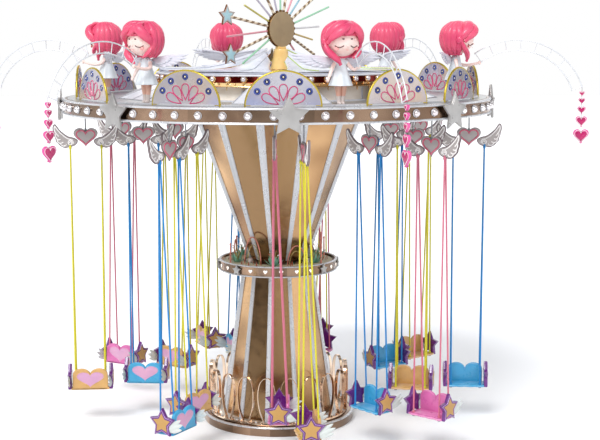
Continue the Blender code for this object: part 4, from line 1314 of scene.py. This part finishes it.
class SWINGRIDE_OT_arcs(Operator):
    """Six bent ladders, each with a string of five hearts"""

    bl_idname = "swing_ride.arcs"
    bl_label = "Heart arcs"

    def execute(self, context):
        angles = [ARC_START + (ARC_END - ARC_START) * k / 48 for k in range(49)]
        arc = Shape()
        for radius in (ARC_OUTER, ARC_INNER):
            arc.wire([arc_point(radius, a) for a in angles], 0.0105, "arc_white", 8)
        for k in range(9):
            a = ARC_START + (ARC_END - ARC_START) * k / 8
            arc.wire([arc_point(ARC_INNER, a), arc_point(ARC_OUTER, a)], 0.0075, "arc_white", 6)
        for a in (ARC_START, ARC_END):
            for radius in (ARC_INNER, ARC_OUTER):
                arc.add(ball(0.016, (1, 1, 1), 10, 8), "arc_white",
                        Matrix.Translation(arc_point(radius, a)))
        reach = arc_point(ARC_OUTER, ARC_END)
        arc.wire([reach, (0, reach.y, HEARTS[-1][0])], 0.004, "steel_rod", 6)
        for height, width in HEARTS:
            place = Matrix.Translation((0, reach.y, height)) @ FACING_ALONG
            outer = slab(heart_outline(width, width * 0.95, 32), 0.050, width * 0.085, rounds=3)
            inner = slab(heart_outline(width * 0.76, width * 0.72, 28), 0.060, width * 0.05,
                         rounds=3)
            for face in (-1, 1):
                line = [(x, y, face * 0.026)
                        for x, y in heart_outline(width * 0.82, width * 0.78, 28)]
                arc.wire(line, 0.0032, "hanger_white", 6, True, places=[place])
            arc.add(outer, "heart_light", place)
            arc.add(inner, "heart_deep", place)
        mesh = arc.mesh()
        for k in range(6):
            copy = mesh.copy()
            copy.transform(at_bearing(DOLL_BEARING + ARC_TURN + math.pi * k / 3))
            add_piece(copy, f"arc_and_hearts_{k + 1}", "crown",
                      [f"heart_arc_{k + 1}"])
        return {"FINISHED"}


HEAD = Vector((0, -0.045, 0.945))


def doll_mesh():
    """One winged doll, standing at the origin and facing outwards along -Y."""
    doll = Shape()
    profile = [(0.030, 0.712), (0.056, 0.700), (0.070, 0.668), (0.076, 0.620), (0.090, 0.555),
               (0.114, 0.480), (0.140, 0.400), (0.166, 0.330), (0.182, 0.292), (0.176, 0.286),
               (0.110, 0.330), (0.030, 0.360)]
    dress = lathe(profile, 84)
    for vertex in dress.vertices:
        angle = math.atan2(vertex.co.y, vertex.co.x)
        radius = math.hypot(vertex.co.x, vertex.co.y)
        if radius > 0.09 and vertex.co.z < 0.56:
            fold = 0.035 * math.cos(angle * 7 + 0.6) + 0.015 * math.cos(angle * 11)
            scale = 1 + fold * min(1, (0.56 - vertex.co.z) / 0.2)
            vertex.co.x *= scale
            vertex.co.y *= scale
    doll.add(dress, "dress_white")
    for side in (-1, 1):
        doll.add(sweep([(side * 0.050, 0, 0.360), (side * 0.044, 0, 0.24),
                        (side * 0.034, 0, 0.13)], [0.056, 0.048, 0.036], 14), "skin_legs")
        doll.add(sweep([(side * 0.034, 0, 0.135), (side * 0.030, 0, 0.07), (side * 0.028, 0, 0.02)],
                       [0.038, 0.032, 0.030], 14), "boot_white")
        doll.add(ball(0.034, (0.85, 1.5, 0.75), 14, 8), "boot_white",
                 Matrix.Translation((side * 0.029, -0.018, 0.026)))
        doll.add(ball(0.046, (1, 0.9, 1), 14, 10), "dress_white",
                 Matrix.Translation((side * 0.080, 0, 0.640)))
    grip = Matrix.Rotation(ARC_TURN, 3, "Z") @ arc_point(ARC_INNER, ARC_START)
    hand = Vector((grip.x, grip.y + DOLL_RING, grip.z - DECK_TOP))
    for path in ([(-0.088, 0, 0.640), (-0.140, -0.02, 0.560), (-0.190, -0.05, 0.460),
                  (-0.235, -0.07, 0.370)],
                 [(0.088, 0, 0.640), (0.150, -0.06, 0.545), (0.150, -0.20, 0.530),
                  tuple(hand + Vector((0.020, 0.028, -0.016)))]):
        path = smooth_path(path, 5)
        count = len(path) - 1
        doll.add(sweep(path, [0.033 - 0.013 * n / count for n in range(count + 1)], 12), "skin")
        doll.add(ball(0.029, (0.85, 1, 1.15), 12, 8), "skin", Matrix.Translation(path[-1]))
    head = Matrix.Translation(HEAD)
    doll.add(lathe([(0, 0.80), (0.045, 0.79), (0.040, 0.70), (0, 0.68)], 16), "skin")
    doll.add(ball(0.250, (1.02, 0.96, 0.90), 32, 20), "skin", head)
    doll.add(ball(0.015, (1, 0.8, 0.8), 12, 8), "skin",
             head @ Matrix.Translation((0, -0.240, -0.065)))
    for side in (-1, 1):
        for middle, rise, width, dip, thick in ((0.114, -0.062, 0.060, 0.026, 0.0075),
                                                (0.066, 0.038, 0.014, 0.004, 0.0095)):
            lid = []
            for k in range(13):
                t = -1 + 2 * k / 12
                across = side * middle + width * t
                up = rise - dip * (1 - t * t)
                depth = -0.240 * math.sqrt(max(0.0, 1 - (across / 0.255) ** 2
                                               - (up / 0.225) ** 2)) - 0.002
                lid.append((across, depth, up))
            doll.wire(lid, thick, "lash", 6, places=[head])
        doll.add(ball(0.040, (1, 0.25, 0.7), 14, 8), "blush",
                 head @ Matrix.Translation((side * 0.150, -0.178, -0.105)))
        doll.add(ball(0.040, (0.5, 0.8, 1.0), 12, 8), "skin",
                 head @ Matrix.Translation((side * 0.232, -0.060, -0.050)))
    smile = [(0.022 * t, -0.222, -0.128 + 0.006 * t * t) for t in (-1, -0.5, 0, 0.5, 1)]
    doll.wire(smile, 0.004, "blush", 6, places=[head])
    add_hair(doll, head)
    for side in (-1, 1):
        add_wing(doll, side)
    return doll.mesh(50)


def add_hair(doll, head):
    """A smooth combed cap with broad locks, a swept fringe, a quiff and a long side lock."""
    cap = ball(0.292, (1.03, 1.0, 0.98), 36, 22)
    for vertex in cap.vertices:
        if vertex.co.y < -0.05 and vertex.co.z < 0.07:
            vertex.co *= 0.78
        elif vertex.co.z < -0.17:
            vertex.co.x *= 0.9
    doll.add(cap, "doll_hair", head @ Matrix.Translation((0, 0.020, 0.032)))
    for k in range(11):
        angle = math.radians(-8 + 196 * k / 10)
        out = Vector((math.cos(angle), math.sin(angle), 0))
        path = smooth_path([tuple(out * 0.12 + Vector((0.02, 0.0, 0.285))),
                            tuple(out * 0.235 + Vector((0, 0.01, 0.165))),
                            tuple(out * 0.262 + Vector((0, 0.01, -0.01))),
                            tuple(out * 0.225 + Vector((0, 0.01, -0.160))),
                            tuple(out * 0.165 + Vector((0, 0.01, -0.235)))], 5)
        count = len(path)
        radii = [0.020 + 0.050 * math.sin(math.pi * min(0.92, (n + 2) / count))
                 for n in range(count)]
        doll.add(sweep(path, radii, 12, squash=0.8), "doll_hair", head)
    locks = (
        ([(0.09, -0.10, 0.270), (0.00, -0.215, 0.225), (-0.12, -0.245, 0.150),
          (-0.225, -0.185, 0.060), (-0.262, -0.110, -0.020)], 0.085, 0.72),
        ([(0.08, -0.08, 0.280), (-0.06, -0.170, 0.262), (-0.18, -0.165, 0.190),
          (-0.265, -0.095, 0.080), (-0.272, -0.030, -0.030)], 0.085, 0.72),
        ([(0.07, -0.11, 0.275), (0.13, -0.215, 0.215), (0.205, -0.205, 0.120),
          (0.258, -0.120, 0.020), (0.262, -0.050, -0.070)], 0.078, 0.70),
        ([(0.05, -0.12, 0.272), (0.06, -0.230, 0.220), (0.02, -0.262, 0.150),
          (-0.06, -0.262, 0.105)], 0.070, 0.60),
        ([(0.06, -0.12, 0.272), (0.11, -0.225, 0.215), (0.15, -0.240, 0.145),
          (0.175, -0.225, 0.105)], 0.062, 0.60),
        ([(0.04, 0.00, 0.270), (0.10, -0.120, 0.275), (0.15, -0.205, 0.235),
          (0.170, -0.240, 0.190), (0.140, -0.250, 0.170)], 0.036, 0.70),
        ([(-0.285, -0.050, 0.010), (-0.270, -0.110, -0.120), (-0.190, -0.150, -0.215),
          (-0.110, -0.150, -0.285), (-0.070, -0.135, -0.345)], 0.056, 0.80),
        ([(0.250, -0.050, -0.060), (0.235, -0.100, -0.150), (0.170, -0.130, -0.215),
          (0.120, -0.125, -0.245)], 0.040, 0.80),
    )
    for points, thick, squash in locks:
        path = smooth_path(points, 6)
        count = len(path)
        radii = [thick * (0.25 + 0.75 * math.sin(math.pi * min(0.90, (n + 1.5) / count)))
                 for n in range(count)]
        doll.add(sweep(path, radii, 14, squash=squash), "doll_hair", head)
    doll.add(ball(0.060, (0.8, 1, 1.1), 16, 10), "doll_hair",
             head @ Matrix.Translation((-0.292, -0.030, 0.000)))


def add_wing(doll, side):
    """A wing of six long layered feathers, spread nearly level behind the shoulder."""
    root = Vector((side * 0.040, 0.110, 0.640))
    mirror = Matrix.Scale(-1, 4, (1, 0, 0)) if side < 0 else Matrix.Identity(4)
    for k, (length, angle) in enumerate(((0.72, 9), (0.68, 5), (0.60, 1), (0.50, -4), (0.40, -10),
                                         (0.29, -18))):
        for scale, lift in ((1.0, 0.0), (0.55, -0.014)):
            feather = leaf(length * scale, 0.105, 0.030, 0.10, 0.62, 12, 4)
            turn = (Matrix.Translation((0.0, lift - 0.004 * k, 0.0))
                    @ Matrix.Rotation(math.radians(12), 4, "Z")
                    @ Matrix.Rotation(math.radians(-angle), 4, "Y")
                    @ Matrix.Rotation(math.radians(90), 4, "X"))
            doll.add(feather, "doll_feather", Matrix.Translation(root) @ mirror @ turn)
    bone = smooth_path([(0, 0, 0.01), (0.16, 0.03, 0.050), (0.34, 0.07, 0.080),
                        (0.52, 0.11, 0.105)], 5)
    bone = [Vector((p.x * side, p.y, p.z)) + root for p in bone]
    doll.add(sweep(bone, [0.034 - 0.022 * n / (len(bone) - 1) for n in range(len(bone))], 10),
             "doll_feather")


class SWINGRIDE_OT_dolls(Operator):
    """Six winged dolls on the crown"""

    bl_idname = "swing_ride.dolls"
    bl_label = "Dolls"

    def execute(self, context):
        mesh = doll_mesh()
        for k in range(6):
            copy = mesh.copy()
            copy.transform(at_bearing(DOLL_BEARING + math.pi * k / 3, DOLL_RING, 5.602))
            add_piece(copy, f"winged_doll_{k + 1}", "crown", [f"doll_{k + 1}"])
        return {"FINISHED"}


# Swings


def hanger_mesh():
    """The winged heart of a swing with its rod, with the pivot at the origin."""
    made = Shape()
    centre = 4.920 - PIVOT_HEIGHT
    stand = Matrix.Translation((0, 0, centre)) @ FACING_ALONG
    heart = [(x * 1.0, y) for x, y in heart_outline(0.390, 0.310, 36)]
    made.add(slab(heart, 0.032, 0.008), "hanger_plate", stand)
    made.add(slab(heart_outline(0.404, 0.322, 36), 0.022, 0.005), "hanger_rim", stand)
    wing = smooth_outline([(0.140, -0.052), (0.175, -0.118), (0.240, -0.148), (0.300, -0.160),
                           (0.345, -0.170), (0.395, -0.150), (0.430, -0.128), (0.458, -0.098),
                           (0.492, -0.062), (0.500, -0.018), (0.520, 0.030), (0.528, 0.085),
                           (0.543, 0.130), (0.541, 0.185), (0.520, 0.219), (0.495, 0.205),
                           (0.440, 0.125), (0.360, 0.055), (0.290, 0.012), (0.210, -0.008)], 3)
    for side in (-1, 1):
        shape = [(side * x, y) for x, y in wing]
        made.add(slab(shape, 0.026, 0.006), "hanger_plate", stand)
        middle = Vector((side * 0.36, -0.03, 0))
        rim = [(middle.x + (x - middle.x) * 1.0, y) for x, y in shape]
        for face in (-1, 1):
            made.wire([(x, y, face * 0.0115) for x, y in rim], 0.0065, "hanger_rim", 6, True,
                      places=[stand])
    for face in (-1, 1):
        level = face * 0.0155
        ring = [(x * 0.80, y * 0.80 - 0.004, level) for x, y in heart]
        made.wire(ring, 0.0130, "hanger_pink", 6, True, places=[stand])
        for side in (-1, 1):
            for line in wing_lines():
                path = smooth_path([(side * x, y, face * 0.0135) for x, y in line], 4)
                made.wire(path, 0.0100, "hanger_white", 6, places=[stand])
    made.wire([(0, 0, 0.016), (0, 0, centre + 0.02)], 0.0115, "steel_rod", 12)
    eye = lathe([(0, -0.014), (0.018, -0.014), (0.021, -0.008), (0.021, 0.008), (0.018, 0.014),
                 (0, 0.014)], 20)
    made.add(eye, "steel_rod", FACING_ALONG)
    ferrule = lathe([(0, centre + 0.150), (0.018, centre + 0.148), (0.024, centre + 0.100),
                     (0, centre + 0.098)], 16)
    made.add(ferrule, "steel_rod")
    for side in (-1, 1):
        grommet = lathe([(0.012, 0.018), (0.024, 0.018), (0.027, 0.012), (0.027, -0.012),
                         (0.024, -0.018), (0.012, -0.018)], 20, True)
        made.add(grommet, "steel_rod", Matrix.Translation((side * 0.0, 0, 0)) @ stand
                 @ Matrix.Translation((side * 0.262, -0.118, 0)))
    return made


def wing_lines():
    """The curl and feather lines drawn on a hanger's wing."""
    curl = []
    for k in range(15):
        t = k / 14
        turn = math.radians(200) - 3.3 * math.pi * t
        reach = 0.052 * (1 - 0.80 * t)
        curl.append((0.255 + reach * math.cos(turn), -0.088 + reach * math.sin(turn)))
    long_line = [(0.215, -0.040), (0.290, -0.022), (0.370, 0.030), (0.450, 0.110), (0.512, 0.196)]
    back = [(0.512, 0.196), (0.522, 0.150), (0.500, 0.085), (0.450, 0.020)]
    feathers = [[(0.500, 0.060), (0.500, 0.010), (0.462, -0.034), (0.418, -0.030)],
                [(0.480, -0.030), (0.462, -0.080), (0.415, -0.095), (0.375, -0.075)],
                [(0.425, -0.105), (0.385, -0.140), (0.340, -0.135), (0.322, -0.108)]]
    return [curl, long_line, back] + feathers


def chair_meshes():
    """The shell, side stars and ropes of a chair, in meshes by piece, pivot at the origin."""
    drop = -PIVOT_HEIGHT
    rear = 0.050
    half = settings().chairs.rope_diameter / 2
    back_x = rear + 0.145
    low = 0.595 + drop
    shell = Shape()
    back = [(-0.296, 0.0), (0.296, 0.0), (0.300, 0.10), (0.300, 0.235)]
    for centre in (0.150, -0.150):
        for k in range(1, 12):
            angle = math.pi * k / 12
            back.append((centre + 0.148 * math.cos(angle), 0.268 + 0.104 * math.sin(angle)))
        if centre > 0:
            back.append((0.0, 0.250))
    back += [(-0.300, 0.235), (-0.300, 0.10)]
    stand = Matrix.Translation((back_x, 0, low)) @ FACING_ALONG
    shell.add(slab(back, 0.046, 0.013, rounds=3), "chair", stand)
    heart = [(x, y) for x, y in heart_outline(0.455, 0.262, 40)]
    # local +Z of the standing plate looks back along +X
    rearwards = Matrix.Translation((0.023, 0, 0))
    middle = Matrix.Translation((0, 0.178, 0))
    shell.add(slab(heart, 0.014, 0.005), "heart_lilac", rearwards @ stand @ middle)
    line = [(x * 1.035, y * 1.05, 0.0) for x, y in heart]
    shell.add(wire(line, 0.006, "chair_edge", 6, True), "pan", rearwards @ stand @ middle)
    rim = [(x * 0.93, 0.012 + y * 0.93, 0) for x, y in back]
    shell.add(wire(rim, 0.006, "chair_edge", 6, True), "pan",
              Matrix.Translation((-0.022, 0, 0)) @ stand)
    front = []
    for k in range(33):
        t = k / 32
        front.append((-0.140 - 0.020 * abs(math.sin(math.pi * 4 * t)), -0.322 + 0.644 * t))
    pan = front + [(0.168, 0.322), (0.168, -0.322)]
    shell.add(slab([(x + rear, y) for x, y in pan], 0.040, 0.012, rounds=3), "chair",
              Matrix.Translation((0, 0, 0.616 + drop)))
    edge = [(x + rear - 0.004, y * 0.985, 0) for x, y in front]
    shell.add(wire(edge, 0.0125, "chair_edge", 8), "pan", Matrix.Translation((0, 0, 0.620 + drop)))
    dish = [(x * 0.80 + rear + 0.004, y * 0.86) for x, y in pan]
    shell.add(slab(dish, 0.012, 0.005), "pan", Matrix.Translation((0, 0, 0.634 + drop)))
    for side in (-1, 1):
        shell.add(lathe([(0, 0.012), (0.024, 0.010), (0.028, 0.0), (0.024, -0.012), (0, -0.014)],
                        16), "steel_rod",
                  Matrix.Translation((rear - 0.110, side * 0.250, 0.593 + drop)))
    stars = Shape()
    for side in (-1, 1):
        spot = Matrix.Translation((rear, side * 0.350, 0.790 + drop)) @ FACING_OUT
        stars.add(slab(star_outline(0.235, 0.54), 0.064, 0.010, rounds=3), "star_purple", spot)
        for face in (1, -1):
            # FACING_OUT turns local +Z to -Y, which is outwards for side -1
            if (face > 0) != (side < 0):
                continue
            ring = [(x, y, face * 0.0320) for x, y in star_outline(0.207, 0.54)]
            stars.wire(ring, 0.0040, "star_lilac", 6, True, places=[spot])
            plate = slab(star_outline(0.160, 0.54), 0.012, 0.004)
            stars.add(plate, "star_inlay", spot @ Matrix.Translation((0, 0, face * 0.0320)))
        for n, (angle, length) in enumerate(((36, 0.275), (24, 0.285), (11, 0.245))):
            feather = leaf(length, 0.086, 0.026, 0.10, 0.7, 10, 3)
            lean = (Matrix.Translation((rear + 0.115, side * (0.358 + 0.008 * (n % 2)),
                                        0.722 + drop - 0.020 * n))
                    @ Matrix.Rotation(math.radians(6 * -side), 4, "Z")
                    @ Matrix.Rotation(math.radians(-angle), 4, "Y")
                    @ Matrix.Rotation(math.radians(90), 4, "X"))
            stars.add(feather, "chair_feather", lean)
    ropes = Shape()
    for side in (-1, 1):
        for end in (Vector((rear - 0.110, side * 0.250, 0.600 + drop)),
                    Vector((back_x - 0.006, side * 0.250, 0.800 + drop))):
            top = Vector((math.copysign(0.013, end.x), side * 0.262, 4.800 + drop))
            path = [top.lerp(end, k / 24) for k in range(25)]
            ropes.wire(path, half, "rope", 10)
            knot = lathe([(0, 0.028), (0.018, 0.024), (0.024, 0.010), (0.022, -0.010),
                          (0.016, -0.024), (0, -0.028)], 14)
            shift = top.lerp(end, 0.012)
            ropes.add(knot, "rope", Matrix.Translation(shift))
            if end.z < 0.7 + drop:
                ropes.add(knot, "rope", Matrix.Translation(end + Vector((0, 0, 0.046))))
    return shell, stars, ropes


class SWINGRIDE_OT_swings(Operator):
    """Both rings of swings: hanger, ropes, shell and side stars on each"""

    bl_idname = "swing_ride.swings"
    bl_label = "Swings"

    def execute(self, context):
        hanger = hanger_mesh().mesh()
        bpy.data.materials.new("chair_edge")
        for label in ("chair", "pan", "rope"):
            bpy.data.materials.new(label)
        shell, stars, ropes = (shape.mesh() for shape in chair_meshes())
        for ring, radius, bearings, colours in (
                ("outer", OUTER_RING, OUTER_BEARINGS, OUTER_COLOURS),
                ("inner", INNER_RING, INNER_BEARINGS, INNER_COLOURS)):
            for k, (bearing, colour) in enumerate(zip(bearings, colours)):
                body = f"swing_{ring}_{k + 1}"
                place = at_bearing(math.radians(bearing), radius, PIVOT_HEIGHT)
                for label, mesh in (("hanger", hanger), ("shell", shell), ("stars", stars),
                                    ("ropes", ropes)):
                    copy = mesh.copy()
                    copy.transform(place)
                    for n, finish in enumerate(copy.materials):
                        if finish.name in ("chair", "pan", "rope"):
                            copy.materials[n] = coat(f"{finish.name}_{colour}")
                    add_piece(copy, f"{ring}_{k + 1}_{label}", body,
                              [body] if label == "shell" else ())
        pins = Shape()
        pin = lathe([(0, 0.046), (0.009, 0.046), (0.009, 0.036), (0.006, 0.034), (0.006, -0.034),
                     (0.009, -0.036), (0.009, -0.046), (0, -0.046)], 12)
        pin.transform(Matrix.Rotation(math.radians(90), 4, "Y"))
        for radius, bearings in ((OUTER_RING, OUTER_BEARINGS), (INNER_RING, INNER_BEARINGS)):
            pins.add(pin, "silver_trim", *(at_bearing(math.radians(bearing), radius, PIVOT_HEIGHT)
                                           for bearing in bearings))
        pins.piece("pivot_pins", "crown", "silver")
        return {"FINISHED"}


# Stage


class SWINGRIDE_OT_stage(Operator):
    """Pale floor, soft studio light and the camera"""

    bl_idname = "swing_ride.stage"
    bl_label = "Stage"

    def execute(self, context):
        stage = context.scene.swing_ride.stage
        floor = Finish("pale_floor", tuple(stage.floor), 0.0, 0.9)
        floor.tint(floor.noise(0.4), tuple(v * 0.99 for v in stage.floor))
        mesh = lathe([(0, 0), (120, 0), (120, -0.05), (0, -0.05)], 48)
        mesh.materials.append(floor.material)
        item = bpy.data.objects.new("floor", mesh)
        item.location.z = -0.001
        context.scene.collection.objects.link(item)
        lamp = bpy.data.lights.new("key", "SUN")
        lamp.energy = stage.sun_strength
        lamp.angle = math.radians(24)
        key = bpy.data.objects.new("key", lamp)
        key.rotation_euler = (math.radians(42), 0, math.radians(-24))
        context.scene.collection.objects.link(key)
        self.sky(context)
        self.camera(context)
        context.scene.view_settings.view_transform = "Standard"
        return {"FINISHED"}

    def sky(self, context):
        """White all round, with soft grey bands that only polished metal mirrors."""
        world = bpy.data.worlds.new("studio")
        context.scene.world = world
        world.use_nodes = True
        tree = world.node_tree
        tree.nodes.clear()
        new = tree.nodes.new
        rays, place = new("ShaderNodeLightPath"), new("ShaderNodeTexCoord")
        clouds, ramp = new("ShaderNodeTexNoise"), new("ShaderNodeValToRGB")
        clouds.inputs["Scale"].default_value = 1.7
        clouds.inputs["Detail"].default_value = 1.0
        ramp.color_ramp.elements[0].position = 0.42
        ramp.color_ramp.elements[0].color = (0.10, 0.085, 0.08, 1)
        ramp.color_ramp.elements[1].position = 0.55
        ramp.color_ramp.elements[1].color = (1.2, 1.2, 1.2, 1)
        mirrored, plain, seen = (new("ShaderNodeBackground") for _ in range(3))
        plain.inputs["Color"].default_value = (0.94, 0.96, 1.0, 1)
        plain.inputs["Strength"].default_value = 0.96
        seen.inputs["Color"].default_value = (1, 1, 1, 1)
        seen.inputs["Strength"].default_value = 1.0
        first, second, result = (new("ShaderNodeMixShader"), new("ShaderNodeMixShader"),
                                 new("ShaderNodeOutputWorld"))
        for source, target in (
                (place.outputs["Generated"], clouds.inputs["Vector"]),
                (clouds.outputs[0], ramp.inputs[0]), (ramp.outputs[0], mirrored.inputs["Color"]),
                (rays.outputs["Is Glossy Ray"], first.inputs[0]),
                (plain.outputs[0], first.inputs[1]), (mirrored.outputs[0], first.inputs[2]),
                (rays.outputs["Is Camera Ray"], second.inputs[0]),
                (first.outputs[0], second.inputs[1]), (seen.outputs[0], second.inputs[2]),
                (second.outputs[0], result.inputs["Surface"])):
            tree.links.new(source, target)

    def camera(self, context):
        """The photograph's viewpoint, a little above the crown's deck."""
        data = bpy.data.cameras.new("camera")
        data.lens = 82.434
        data.sensor_width = 36.0
        data.clip_end = 300.0
        view = bpy.data.objects.new("camera", data)
        yaw, pitch, roll = math.radians(-0.19), math.radians(7.863), math.radians(0.085)
        turn = (Matrix.Rotation(-roll, 3, "Y") @ Matrix.Rotation(pitch, 3, "X")
                @ Matrix.Rotation(yaw, 3, "Z")).transposed()
        right, ahead, up = turn.col
        axes = Matrix((right, up, -ahead)).transposed().to_4x4()
        view.matrix_world = Matrix.Translation((0.459, -23.46, 6.71)) @ axes
        context.scene.collection.objects.link(view)
        context.scene.camera = view


class SWINGRIDE_OT_finishes(Operator):
    """Every finish used on the ride"""

    bl_idname = "swing_ride.finishes"
    bl_label = "Finishes"

    def execute(self, context):
        make_finishes()
        return {"FINISHED"}


OPERATORS = (
    SWINGRIDE_OT_finishes, SWINGRIDE_OT_stage, SWINGRIDE_OT_plinth, SWINGRIDE_OT_tower,
    SWINGRIDE_OT_collar, SWINGRIDE_OT_garden, SWINGRIDE_OT_crown_band, SWINGRIDE_OT_panels,
    SWINGRIDE_OT_tier, SWINGRIDE_OT_roof, SWINGRIDE_OT_sunburst, SWINGRIDE_OT_arcs,
    SWINGRIDE_OT_dolls, SWINGRIDE_OT_swings,
)


class SWINGRIDE_PT_panel(Panel):
    """Lists the ride's settings and the operators that build it"""

    bl_idname = "SWINGRIDE_PT_panel"
    bl_label = "Swing ride"
    bl_space_type = "VIEW_3D"
    bl_region_type = "UI"
    bl_category = "Swing ride"

    def draw(self, context):
        """Draw the settings, then a button for each operator."""
        ride = context.scene.swing_ride
        for group in (ride.metal, ride.crown, ride.chairs, ride.stage):
            box = self.layout.box()
            for name in group.__annotations__:
                box.prop(group, name)
        for operator in OPERATORS:
            self.layout.operator(operator.bl_idname)


CLASSES = (MetalSettings, CrownSettings, ChairSettings, StageSettings, RideSettings,
           *OPERATORS, SWINGRIDE_PT_panel)


def register():
    """Register the ride's classes and settings."""
    for item in CLASSES:
        bpy.utils.register_class(item)
    bpy.types.Scene.swing_ride = PointerProperty(type=RideSettings)


def unregister():
    """Remove the ride's classes and settings."""
    del bpy.types.Scene.swing_ride
    for item in reversed(CLASSES):
        bpy.utils.unregister_class(item)


def main():
    """Build the whole ride."""
    register()
    ride = bpy.ops.swing_ride
    ride.finishes()
    ride.stage()
    ride.plinth()
    ride.tower()
    ride.collar()
    ride.garden()
    ride.crown_band()
    ride.panels()
    ride.tier()
    ride.roof()
    ride.sunburst()
    ride.arcs()
    ride.dolls()
    ride.swings()


if __name__ == "__main__":
    main()
